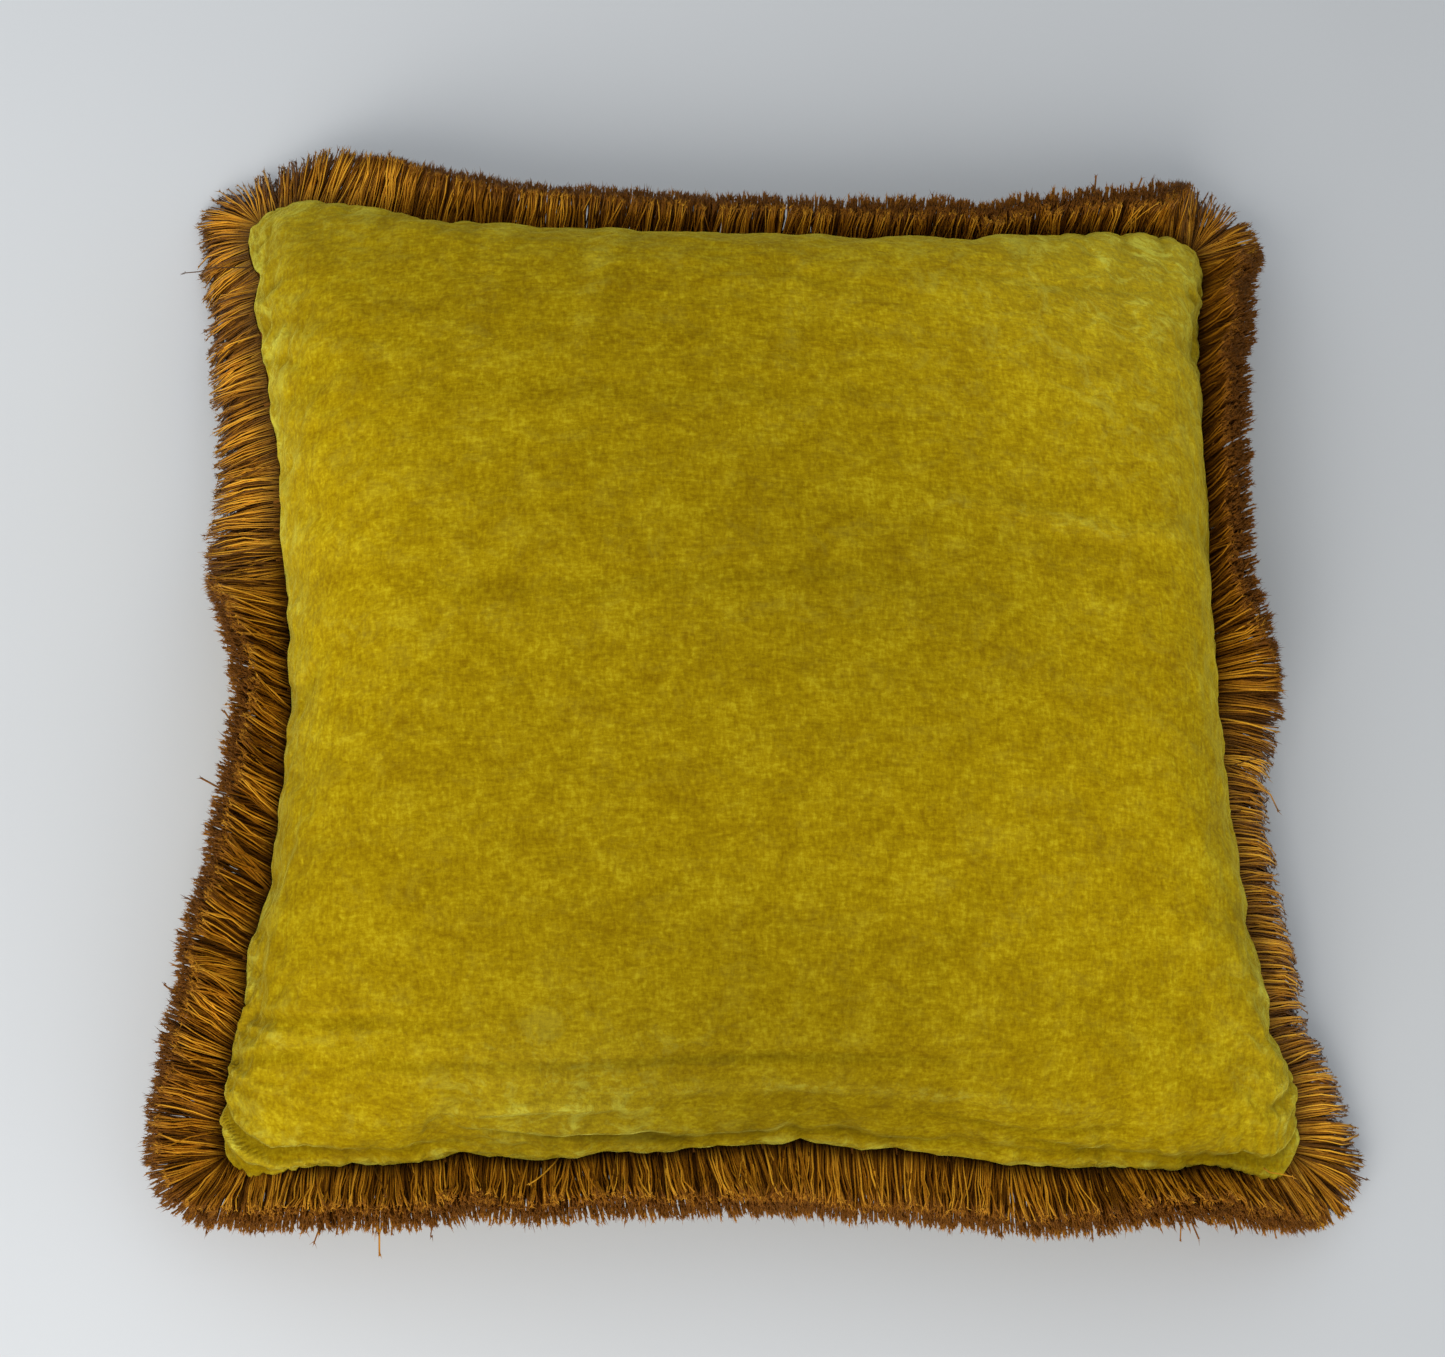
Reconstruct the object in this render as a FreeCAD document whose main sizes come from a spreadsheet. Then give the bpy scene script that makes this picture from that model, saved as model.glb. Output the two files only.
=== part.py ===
import FreeCAD, Part
import math
import os
import Sketcher
from FreeCAD import Placement, Rotation, Vector

# Throw pillow: a square velvet cover with a cut brush fringe in its seam, a concealed zip under the
# fringe on the near side, and a filled insert.
# Millimetres. +Z up, +X to the right, +Y away. The origin is under the middle of the cushion, on the
# surface it lies on. The zip's own frame has X along the zip, Y up towards the seam and Z outwards.

SIZES = {
    # cover
    "half_size": 253,
    "thickness": 142,
    "seam_height": 52,
    "corner_height": 22,
    "near_bow": 15,
    "far_bow": 38,
    "left_bow": 35,
    "right_bow": 35,
    "corner_round": 9,
    "velvet": 1.8,
    "under_depth": 66,
    "seam_play": 0.3,
    # fringe
    "header_thick": 1.2,
    "header_width": 12,
    "fringe_reach": 34,
    "fringe_root_thick": 3,
    "fringe_tip_thick": 10,
    "corner_angle": 4,
    "near_angle": -6,
    "right_angle": 50,
    "far_angle": 68,
    "left_angle": 42,
    # insert
    "ticking": 0.6,
    "insert_inset": 16,
    "insert_gap": 0.5,
    # zip
    "zip_length": 300,
    "zip_height": 35,
    "zip_setback": 32,
    "zip_turn": 133,
    "zip_flat_margin": 8,
    "placket_face": 2.9,
    "placket_width": 22,
    "mouth_width": 9.4,
    "tape_width": 10,
    "tape_thick": 0.7,
    "tape_gap": 1.6,
    "tape_end": 4,
    "coil_width": 2,
    "coil_rise": 1.6,
    "coil_gap": 1.2,
    "coil_fillet": 0.5,
    "stop_length": 2.4,
    "stop_width": 2.6,
    "stop_rise": 1.9,
    "stitch_length": 2.6,
    "stitch_pitch": 3.4,
    "stitch_thick": 0.5,
    "stitch_row": 7.6,
    # slider
    "slider_length": 9,
    "slider_width": 8,
    "slider_tail_width": 6.8,
    "slider_end_room": 0.6,
    "plate_thick": 1.1,
    "outer_plate_base": 2.4,
    "back_plate_base": -1.85,
    "plate_fillet": 1,
    "flange_thick": 0.7,
    "flange_drop": 1.5,
    "neck_length": 1.8,
    "neck_width": 0.7,
    "bridge_length": 6.4,
    "bridge_width": 1.6,
    "bridge_rise": 2.2,
    "bridge_top": 0.6,
    "bridge_leg": 1.2,
    # pull tab
    "tab_lift": 0.95,
    "tab_bar": 1,
    "tab_play": 0.4,
    "tab_arm": 1,
    "tab_ring": 4.4,
    "tab_length": 18,
    "tab_width": 5.6,
    "tab_thick": 1.1,
    "tab_round": 2.5,
    "tab_eye": 2.4,
}

PATCH_POLES = 11      # control points along each way of a cushion face
EDGE_ANGLE = 80.0     # degrees of the arc that gives each face its crowned profile
PLUMPNESS = 0.7       # below 1 the face rises more steeply from its seam
OVER = 60.0           # how far a cutting solid runs past what it cuts

doc = FreeCAD.newDocument("ThrowPillow")
sheet = doc.addObject("Spreadsheet::Sheet", "Sizes")
for row, (alias, value) in enumerate(SIZES.items(), start=1):
    sheet.set("A%d" % row, alias)
    sheet.set("B%d" % row, str(value))
    sheet.setAlias("B%d" % row, alias)
doc.recompute()


def size(alias):
    """A driving dimension, read from the sheet."""
    return float(sheet.get(alias))


# ---------------------------------------------------------------- cushion faces

class Outline:
    """The seam line of a square cushion, over u and v from -1 to 1 across its width and depth."""

    def __init__(self, inset=0.0):
        self.half = size("half_size") - inset
        self.reach = self.half / size("half_size")
        self.corner = size("corner_height")
        self.lift = size("seam_height") - self.corner
        self.round = size("corner_round")
        self.bow_x = (size("left_bow"), size("right_bow"))
        self.bow_y = (size("near_bow"), size("far_bow"))

    def pulled(self, along, across, bows):
        """The plan position along one axis: bowed in between the corners and rounded at them."""
        mean = (bows[0] + bows[1]) / 2
        spread = (bows[1] - bows[0]) / 2
        bow = (mean * along ** 3 + spread * along ** 4) * (1 - across ** 2)
        rounding = self.round * along ** 3 * across ** 8
        return self.half * along - bow - rounding

    def point(self, u, v):
        """A point of the saddle that spans the seam, lowest at its corners."""
        x = self.pulled(u, v, self.bow_x)
        y = self.pulled(v, u, self.bow_y)
        z = self.corner + self.lift * (1 - (u * v * self.reach ** 2) ** 4)
        return Vector(x, y, z)


def arc_station(step):
    """Plan position and height, each 0 to 1, of control point number step on the crowned profile."""
    edge = math.radians(EDGE_ANGLE)
    angle = edge * (2 * step / (PATCH_POLES - 1) - 1)
    rise = (math.cos(angle) - math.cos(edge)) / (1 - math.cos(edge))
    return math.sin(angle) / math.sin(edge), max(rise, 0.0) ** PLUMPNESS


def spline_surface(poles):
    """A clamped B-spline surface over a grid of control points, cubic or quadratic each way."""
    counts = (len(poles), len(poles[0]))
    degrees = [min(3, count - 1) for count in counts]
    knots = [list(range(counts[i] - degrees[i] + 1)) for i in (0, 1)]
    mults = [[degrees[i] + 1] + [1] * (len(knots[i]) - 2) + [degrees[i] + 1] for i in (0, 1)]
    surface = Part.BSplineSurface()
    surface.buildFromPolesMultsKnots(
        poles, mults[0], mults[1], knots[0], knots[1], False, False, degrees[0], degrees[1])
    return surface


def cushion_face(outline, crown, raise_by=0.0):
    """The face over the seam saddle, crown high in its middle (below the saddle if negative)."""
    poles = []
    for i in range(PATCH_POLES):
        u, rise_u = arc_station(i)
        line = []
        for j in range(PATCH_POLES):
            v, rise_v = arc_station(j)
            line.append(outline.point(u, v) + Vector(0, 0, crown * rise_u * rise_v + raise_by))
        poles.append(line)
    return spline_surface(poles).toShape()


def closed_solid(faces):
    """One solid sewn from faces that share their edges."""
    sewn = Part.Compound(faces)
    sewn.sewShape()
    solid = Part.makeSolid(sewn.Shells[0])
    if solid.Volume < 0:
        solid.reverse()
    return solid


def lens(outline, up, down, raise_by=0.0):
    """A cushion-shaped solid: crowned up above the seam saddle and down below it."""
    return closed_solid([cushion_face(outline, up, raise_by), cushion_face(outline, -down, raise_by)])


def skin(outline, inside, crown, wall, raise_by=0.0):
    """The cloth over one side of a cushion: an outer and an inner face joined along the seam."""
    inner_crown = crown - math.copysign(wall, crown)
    faces = [cushion_face(outline, crown, raise_by), cushion_face(inside, inner_crown, raise_by)]
    seams = [cushion_face(ring, 0.0, raise_by).Edges for ring in (outline, inside)]
    bands = [Part.makeRuledSurface(outer, inner) for outer, inner in zip(*seams)]
    return closed_solid(faces + bands)


def rested_skin(outline, inside, depth, wall, floor_height, raise_by=0.0):
    """The cloth under a cushion, pressed flat where it rests at floor_height."""
    hanging = skin(outline, inside, -depth, wall, raise_by).cut(floor_slab(floor_height))
    flat = lens(outline, 0.0, depth, raise_by).common(floor_slab(floor_height + wall, wall))
    return hanging.fuse(flat)


def flat_faces_first(solid):
    """The same solid with its flat faces listed first: tests of what is inside it start from those."""
    faces = sorted(solid.Faces, key=lambda face: face.Surface.TypeId != "Part::GeomPlane")
    return Part.makeSolid(Part.makeShell(faces))


def floor_slab(top, thick=2 * OVER):
    """A slab wider than the cushion, thick deep, whose upper face is at the height top."""
    reach = size("half_size") + OVER
    return Part.makeBox(2 * reach, 2 * reach, thick, Vector(-reach, -reach, top - thick))


# ---------------------------------------------------------------- the zip's frame

def zip_placement():
    """The zip's own frame: X along the zip, Y up towards the seam, Z out of the cushion."""
    centre = Vector(0, size("zip_setback") - size("half_size"), size("zip_height"))
    return Placement(centre, Rotation(Vector(1, 0, 0), size("zip_turn")))


def zip_box(length, width, low, high, x_mid=0.0, y_mid=0.0):
    """A box in the zip's frame, centred on x_mid and y_mid, from low to high outwards."""
    box = Part.makeBox(length, width, high - low, Vector(x_mid - length / 2, y_mid - width / 2, low))
    box.Placement = zip_placement()
    return box


# ---------------------------------------------------------------- cover panels

def seam_gap():
    """How far each panel's edge lies above or below the middle of the seam, clear of the header."""
    return size("header_thick") / 2 + size("seam_play")


def front_panel():
    """The upper velvet square, from the seam up over the filling."""
    crown = size("thickness") - size("seam_height") - seam_gap()
    return skin(Outline(), Outline(size("velvet")), crown, size("velvet"), seam_gap())


def back_panel():
    """The lower velvet square: flat where it rests, with a flat placket and a mouth for the zip."""
    wall = size("velvet")
    drop = -seam_gap()
    depth = size("under_depth")
    face = size("placket_face")
    flat_length = size("zip_length") + 2 * size("zip_flat_margin")
    flat_width = size("placket_width")
    cloth = rested_skin(Outline(), Outline(wall), depth, wall, 0.0, drop)
    placket = zip_box(flat_length + 2 * wall, flat_width + 2 * wall, face - wall, OVER)
    placket = placket.cut(zip_box(flat_length, flat_width, face, OVER))
    placket = lens(Outline(), 0.0, depth, drop).common(placket)
    cloth = cloth.cut(zip_box(flat_length, flat_width, face - wall, OVER)).fuse(placket)
    cloth = cloth.cut(zip_box(size("zip_length"), size("mouth_width"), -wall, OVER))
    return flat_faces_first(cloth)


# ---------------------------------------------------------------- fringe

def header_tape():
    """A woven ring in the seam, between the two panels."""
    thick = size("header_thick")
    ring = cushion_face(Outline(), 0.0, -thick / 2).extrude(Vector(0, 0, thick))
    opening = cushion_face(Outline(size("header_width")), 0.0, -OVER).extrude(Vector(0, 0, 2 * OVER))
    return ring.cut(opening)


def fringe_surface(number, layer, side_angle):
    """The upper (layer 1) or lower (layer -1) face of one side's brush of yarns."""
    root_thick = size("fringe_root_thick")
    growth = size("fringe_tip_thick") - root_thick
    seam = Outline()
    poles = []
    for i in range(PATCH_POLES):
        along, _ = arc_station(i)
        u, v = ((along, -1), (1, along), (along, 1), (-1, along))[number]
        root = seam.point(u, v)
        rise = size("corner_angle") + (side_angle - size("corner_angle")) * (1 - along ** 4)
        out, up = math.cos(math.radians(rise)), math.sin(math.radians(rise))
        line = [root + Vector(0, 0, layer * root_thick / 2)]
        for share in (0.5, 1.0):
            half_thick = layer * (root_thick + growth * share) / 2
            ring = Outline(half_thick * up - size("fringe_reach") * share * out)
            place = ring.point(u, v)
            place.z = root.z + size("fringe_reach") * share * up + half_thick * out
            line.append(place)
        poles.append(line)
    return spline_surface(poles).toShape()


def fringe_side(number, side_angle):
    """One side's brush of yarns, from the seam out and up at its own angle, mitred at its corners."""
    lower = fringe_surface(number, -1, side_angle)
    upper = fringe_surface(number, 1, side_angle)
    bands = [Part.makeRuledSurface(low, high) for low, high in zip(lower.Edges, upper.Edges)]
    return closed_solid([lower, upper] + bands)


# ---------------------------------------------------------------- insert

def insert_parts():
    """The case's front and back halves, and the filling that fills them."""
    wall = size("ticking")
    clear = size("velvet") + size("insert_gap")
    up = size("thickness") - size("seam_height") - clear
    down = size("under_depth") - clear
    seam = Outline(size("insert_inset"))
    inside = Outline(size("insert_inset") + wall)
    front = skin(seam, inside, up, wall)
    back = rested_skin(seam, inside, down, wall, clear)
    filling = lens(inside, up - wall, down - wall).cut(floor_slab(clear + wall))
    return front, back, filling


# ---------------------------------------------------------------- zip

PARTS = []
# Expressions of the sheet that several zip pieces share: where the coil starts, where the closed
# slider's middle is along the zip, and the height of its outer plate.
COIL_START = "- zip_length / 2 + tape_end + stop_length"
SLIDER_X = "( zip_length / 2 - tape_end - stop_length - slider_end_room - slider_length / 2 )"
OUTER_PLATE_TOP = "outer_plate_base + plate_thick"


def add_feature(label, shape):
    """A sub-part whose shape is made by Part's functions."""
    feature = doc.addObject("Part::Feature", label)
    feature.Shape = shape
    feature.Label = label
    PARTS.append(feature)


def zip_body(label):
    """A PartDesign body that lies in the zip's frame."""
    body = doc.addObject("PartDesign::Body", label)
    body.Label = label
    body.Placement = zip_placement()
    body.setExpression("Placement.Base.y", "Sizes.zip_setback - Sizes.half_size")
    body.setExpression("Placement.Base.z", "Sizes.zip_height")
    body.setExpression("Placement.Rotation.Angle", "Sizes.zip_turn * 1 deg")
    PARTS.append(body)
    return body


def block(body, name, corner, lengths, cut=False):
    """A box added to the body, or cut from it. Its corner and lengths are expressions of the sheet."""
    kind = "PartDesign::SubtractiveBox" if cut else "PartDesign::AdditiveBox"
    box = body.newObject(kind, name)
    for axis, value in zip("xyz", corner):
        box.setExpression("Placement.Base." + axis, in_sheet(value))
    for side, value in zip(("Length", "Width", "Height"), lengths):
        box.setExpression(side, in_sheet(value))
    doc.recompute()
    return box


def round_bar(body, name, base, turn, radius, length, cut=False):
    """A cylinder added to the body, or cut from it, from its base along its turned Z axis."""
    kind = "PartDesign::SubtractiveCylinder" if cut else "PartDesign::AdditiveCylinder"
    bar = body.newObject(kind, name)
    bar.Placement = Placement(Vector(0, 0, 0), turn)
    for axis, value in zip("xyz", base):
        bar.setExpression("Placement.Base." + axis, in_sheet(value))
    bar.setExpression("Radius", in_sheet(radius))
    bar.setExpression("Height", in_sheet(length))
    doc.recompute()
    return bar


def in_sheet(text):
    """An expression with each of its words read from the sheet."""
    words = []
    for word in text.split():
        words.append("Sizes." + word if word in SIZES else word)
    return " ".join(words)


def origin_plane(body, role):
    """One of the body's own origin planes."""
    return [item for item in body.Origin.OriginFeatures if item.Role == role][0]


def outline_sketch(body, name, plane, offset, points):
    """A closed outline of straight lines on one of the body's planes. Points are pairs of expressions."""
    sketch = body.newObject("Sketcher::SketchObject", name)
    sketch.AttachmentSupport = [(origin_plane(body, plane), "")]
    sketch.MapMode = "FlatFace"
    for axis, value in zip("xyz", offset):
        sketch.setExpression("AttachmentOffset.Base." + axis, in_sheet(value))
    count = len(points)
    corners = [Vector(5 * math.cos(2 * math.pi * i / count), 5 * math.sin(2 * math.pi * i / count), 0)
               for i in range(count)]
    for i in range(count):
        sketch.addGeometry(Part.LineSegment(corners[i], corners[(i + 1) % count]), False)
    for i in range(count):
        sketch.addConstraint(Sketcher.Constraint("Coincident", i, 2, (i + 1) % count, 1))
    for i, place in enumerate(points):
        for kind, value in zip(("DistanceX", "DistanceY"), place):
            number = sketch.addConstraint(Sketcher.Constraint(kind, -1, 1, i, 1, 1.0))
            sketch.setExpression("Constraints[%d]" % number, in_sheet(value))
    doc.recompute()
    return sketch


def pad(body, name, sketch, length, midplane=False):
    """A pad of the sketch, length thick."""
    feature = body.newObject("PartDesign::Pad", name)
    feature.Profile = sketch
    feature.Midplane = midplane
    feature.setExpression("Length", in_sheet(length))
    doc.recompute()
    return feature


def zip_tape(label, side):
    """Half of the zip's woven tape. Side is 1 for the half next to the seam and -1 for the other."""
    low = "tape_gap / 2" if side > 0 else "- tape_gap / 2 - tape_width"
    block(zip_body(label), label + "_strip", ("- zip_length / 2", low, "- tape_thick / 2"),
          ("zip_length", "tape_width", "tape_thick"))


def zip_coil(label, side):
    """Half of the nylon coil, as the rounded bar that the turns of the coil fill."""
    body = zip_body(label)
    low = "coil_gap / 2" if side > 0 else "- coil_gap / 2 - coil_width"
    bar = block(body, label + "_bar", (COIL_START, low, "tape_thick / 2"),
                ("- 2 * ( %s )" % COIL_START, "coil_width", "coil_rise"))
    long_edges = []
    for number, edge in enumerate(bar.Shape.Edges, start=1):
        if edge.Length > size("zip_length") / 2 and edge.CenterOfMass.z > size("tape_thick"):
            long_edges.append("Edge%d" % number)
    rounding = body.newObject("PartDesign::Fillet", label + "_round")
    rounding.Base = (bar, long_edges)
    rounding.setExpression("Radius", "Sizes.coil_fillet")


def zip_stops():
    """The pair of top stops at the closed end, and the bottom stop across both tapes."""
    length = size("stop_length")
    width = size("stop_width")
    base = size("tape_thick") / 2
    place = size("zip_length") / 2 - size("tape_end") - length / 2
    middle = (size("coil_gap") + width) / 2
    pair = [zip_box(length, width, base, base + size("stop_rise"), place, side * middle)
            for side in (-1, 1)]
    add_feature("zip_top_stops", Part.Compound(pair))
    across = 2 * width + size("coil_gap")
    add_feature("zip_bottom_stop", zip_box(length, across, base, base + size("stop_rise"), -place, 0.0))


def zip_stitching():
    """Two rows of thread on the placket, which hold the tapes behind it."""
    pitch = size("stitch_pitch")
    face = size("placket_face")
    count = int(size("zip_length") / pitch)
    stitches = []
    for side in (-1, 1):
        for i in range(count):
            x = (i - (count - 1) / 2) * pitch
            stitches.append(zip_box(size("stitch_length"), size("stitch_thick"), face,
                                    face + size("stitch_thick"), x, side * size("stitch_row")))
    add_feature("zip_stitching", Part.Compound(stitches))


def zip_slider():
    """Two plates that hold the coils between them, joined by a neck, with a bridge for the pull tab."""
    body = zip_body("zip_slider")
    tail = "- slider_length / 2"
    nose = "slider_length / 2"
    plate = [(tail, "- slider_tail_width / 2"), (nose, "- slider_width / 2"),
             (nose, "slider_width / 2"), (tail, "slider_tail_width / 2")]
    back = outline_sketch(body, "back_plate_outline", "XY_Plane",
                          (SLIDER_X, "0", "back_plate_base"), plate)
    pad(body, "back_plate", back, "plate_thick")
    block(body, "neck", (SLIDER_X + " + slider_length / 2 - neck_length", "- neck_width / 2",
                         "back_plate_base + plate_thick"),
          ("neck_length", "neck_width", "outer_plate_base - back_plate_base - plate_thick"))
    outer = outline_sketch(body, "outer_plate_outline", "XY_Plane",
                           (SLIDER_X, "0", "outer_plate_base"), plate)
    outer_plate = pad(body, "outer_plate", outer, "plate_thick")
    upright = [edge_name for edge_name, edge in named_edges(outer_plate)
               if abs(edge.tangentAt(edge.FirstParameter).z) > 0.99
               and edge.BoundBox.YLength < 0.01 and edge.Length < size("plate_thick") + 0.01
               and abs(edge.CenterOfMass.y) > size("slider_tail_width") / 2 - 0.01]
    rounding = body.newObject("PartDesign::Fillet", "plate_corners")
    rounding.Base = (outer_plate, upright)
    rounding.setExpression("Radius", "Sizes.plate_fillet")
    doc.recompute()
    for side, low in (("near", "- slider_tail_width / 2"), ("far", "slider_tail_width / 2 - flange_thick")):
        block(body, side + "_flange", (SLIDER_X + " - slider_length / 2 + plate_fillet", low,
                                       "outer_plate_base - flange_drop"),
              ("slider_length - 2 * plate_fillet", "flange_thick", "flange_drop"))
    block(body, "bridge", (SLIDER_X + " - bridge_length / 2", "- bridge_width / 2", OUTER_PLATE_TOP),
          ("bridge_length", "bridge_width", "bridge_rise"))
    before = body.Shape.Volume
    block(body, "bridge_window", (SLIDER_X + " - bridge_length / 2 + bridge_leg", "- bridge_width",
                                  OUTER_PLATE_TOP),
          ("bridge_length - 2 * bridge_leg", "2 * bridge_width", "bridge_rise - bridge_top"), cut=True)
    if body.Shape.Volume >= before:
        raise RuntimeError("the bridge window cut nothing")


def named_edges(feature):
    """Each edge of a feature's shape with the name it has there."""
    return [("Edge%d" % number, edge) for number, edge in enumerate(feature.Shape.Edges, start=1)]


def zip_pull_tab():
    """A flat tab that hangs out from a bar in the slider's bridge, on two arms."""
    body = zip_body("zip_pull_tab")
    bar_height = OUTER_PLATE_TOP + " + tab_lift"
    inner = "bridge_width / 2 + tab_play"
    arms_width = "( bridge_width + 2 * tab_play + 2 * tab_arm )"
    round_bar(body, "bar", (SLIDER_X, "- " + arms_width + " / 2", bar_height),
              Rotation(Vector(1, 0, 0), -90), "tab_bar / 2", arms_width)
    for side, low in (("near", "- %s / 2" % arms_width), ("far", inner)):
        block(body, side + "_arm", (SLIDER_X + " - tab_bar / 2", low, bar_height + " - tab_bar / 2"),
              ("tab_bar", "tab_arm", "tab_ring + tab_bar / 2"))
    blade = block(body, "blade",
                  (SLIDER_X + " - tab_thick / 2", "- tab_width / 2", bar_height + " + tab_ring"),
                  ("tab_thick", "tab_width", "tab_length - tab_ring"))
    corners = [edge_name for edge_name, edge in named_edges(blade)
               if edge.BoundBox.XLength > size("tab_thick") - 0.01
               and edge.CenterOfMass.z > size("tab_length")]
    rounding = body.newObject("PartDesign::Fillet", "blade_end")
    rounding.Base = (blade, corners)
    rounding.setExpression("Radius", "Sizes.tab_round")
    doc.recompute()
    before = body.Shape.Volume
    round_bar(body, "eye", (SLIDER_X + " - tab_width / 2", "0",
                            bar_height + " + tab_length - tab_width / 2"),
              Rotation(Vector(0, 1, 0), 90), "tab_eye / 2", "tab_width", cut=True)
    if body.Shape.Volume >= before:
        raise RuntimeError("the eye cut nothing")


# ---------------------------------------------------------------- the assembly

add_feature("front_panel", front_panel())
add_feature("back_panel", back_panel())
add_feature("fringe_header", header_tape())
for index, side_name in enumerate(("near", "right", "far", "left")):
    add_feature("fringe_" + side_name, fringe_side(index, size(side_name + "_angle")))
case_front, case_back, filling = insert_parts()
add_feature("insert_case_front", case_front)
add_feature("insert_case_back", case_back)
add_feature("insert_filling", filling)
zip_tape("zip_tape_upper", 1)
zip_tape("zip_tape_lower", -1)
zip_coil("zip_coil_upper", 1)
zip_coil("zip_coil_lower", -1)
zip_stops()
zip_stitching()
zip_slider()
zip_pull_tab()


# ---------------------------------------------------------------- checks and export

def check_and_export():
    """Stops if an object failed or a shape is not sound, then writes one STEP file for each sub-part."""
    doc.recompute()
    for item in doc.Objects:
        if "Invalid" in item.State or "Error" in item.State:
            raise RuntimeError(item.Label + " failed to compute")
    for part in PARTS:
        if part.Shape.isNull() or not part.Shape.isValid() or part.Shape.Volume <= 0:
            raise RuntimeError(part.Label + " has no sound shape")
    os.makedirs("parts", exist_ok=True)
    for part in PARTS:
        part.Shape.exportStep("parts/%s.step" % part.Label)
        print(part.Label, len(part.Shape.Solids), "solids,", round(part.Shape.Volume), "mm3")


check_and_export()
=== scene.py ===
import math

import bpy
import numpy as np
from mathutils import Matrix, Vector


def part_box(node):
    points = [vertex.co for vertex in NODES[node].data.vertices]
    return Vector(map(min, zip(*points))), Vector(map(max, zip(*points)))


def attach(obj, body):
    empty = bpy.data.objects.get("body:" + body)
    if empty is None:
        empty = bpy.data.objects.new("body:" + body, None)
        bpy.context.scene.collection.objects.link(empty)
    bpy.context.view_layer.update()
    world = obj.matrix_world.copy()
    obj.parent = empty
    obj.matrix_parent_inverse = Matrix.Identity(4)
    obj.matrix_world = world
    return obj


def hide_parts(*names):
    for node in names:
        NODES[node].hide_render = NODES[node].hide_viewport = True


# Throw pillow. Metres, in the frame of the CAD model: +Z up, +X to the right, +Y away from the viewer.
# The cushion is a grid over the cloth: index i runs from left to right and j from near to far.
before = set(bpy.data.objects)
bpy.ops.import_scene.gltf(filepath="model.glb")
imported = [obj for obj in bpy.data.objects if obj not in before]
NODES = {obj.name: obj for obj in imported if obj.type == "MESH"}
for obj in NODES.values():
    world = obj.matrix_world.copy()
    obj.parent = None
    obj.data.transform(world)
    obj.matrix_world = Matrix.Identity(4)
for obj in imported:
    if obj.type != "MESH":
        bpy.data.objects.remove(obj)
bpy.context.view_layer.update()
MM = 0.001
TURN = 2 * math.pi
UP = np.array([0.0, 0, 1])
RIGHT = np.array([1.0, 0, 0])

# -- places taken from the frame


def mid_side(axis, sign):
    """Where the seam is in the middle of one side: the reach of the header tape there."""
    points = np.array([v.co for v in NODES["fringe_header"].data.vertices])
    across = points[np.abs(points[:, 1 - axis]) < 0.03]
    return float((sign * across[:, axis]).max())


PANEL_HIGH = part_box("front_panel")[1]
HEADER_LOW, HEADER_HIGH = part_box("fringe_header")
HEADER_HALF = 0.0006  # half the header tape's thickness
CORNER = PANEL_HIGH.x  # how far out the seam's corners stand, along X and Y
TOP = PANEL_HIGH.z
SEAM_CORNER_Z = HEADER_LOW.z + HEADER_HALF
SEAM_MID_Z = HEADER_HIGH.z - HEADER_HALF
UNDER_DEPTH = 0.066  # how far the cover would hang below its seam
MID_X = (mid_side(0, -1), mid_side(0, 1))  # left and right
MID_Y = (mid_side(1, -1), mid_side(1, 1))  # near and far

# -- the cushion's smooth shape

CELLS = 220  # cells of the grid across a panel
CROWDING = 0.25  # how much finer the cells are by the seams than in the middle
CLOTH_HALF = 0.25  # half of a panel, laid flat
CLOTH_THICK = 0.0012
SEAM_GAP = HEADER_HALF + 0.0003  # from the seam's middle to each panel's edge
EDGE_ANGLE = math.radians(80)  # half the arc of the crowned profile
PLUMPNESS = 0.7  # below 1 the cushion rises more steeply from its seam
CORNER_ROUND = 0.011  # how much the corners are rounded
# How far the cloth rolls out past the left and right, and the near and far seams.
OVERHANGS = ((0.0025, 0.0025), (0.011, 0.003))
OVERHANG_REACH = 0.012  # how far up the cloth it does so most
BACK_OVERHANG = 0.25  # the back's overhang, as a share of the front's

EVEN_STEPS = np.linspace(-1, 1, CELLS + 1)
STEPS = EVEN_STEPS + CROWDING * (EVEN_STEPS - EVEN_STEPS ** 3)
A, B = np.meshgrid(STEPS, STEPS, indexing="ij")


def plan(t):
    """Plan position, -1 to 1, of the cloth's own position t."""
    return np.sin(EDGE_ANGLE * t) / math.sin(EDGE_ANGLE)


def rise(t):
    """Height of the crowned profile, 0 to 1, at the cloth's own position t."""
    arc = (np.cos(EDGE_ANGLE * t) - math.cos(EDGE_ANGLE)) / (1 - math.cos(EDGE_ANGLE))
    return np.maximum(arc, 0) ** PLUMPNESS


def smooth_step(value):
    """0 below 0, 1 above 1 and eased in between."""
    t = np.clip(value, 0, 1)
    return t * t * (3 - 2 * t)


def pulled(along, across, mids):
    """Plan position along one axis, in metres: bowed in between the corners and rounded at them."""
    half = CORNER + CORNER_ROUND
    bows = (half - mids[0], half - mids[1])
    mean, spread = (bows[0] + bows[1]) / 2, (bows[1] - bows[0]) / 2
    bow = (mean * along ** 3 + spread * along ** 4) * (1 - across ** 2)
    return half * along - bow - CORNER_ROUND * along ** 3 * across ** 8


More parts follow.
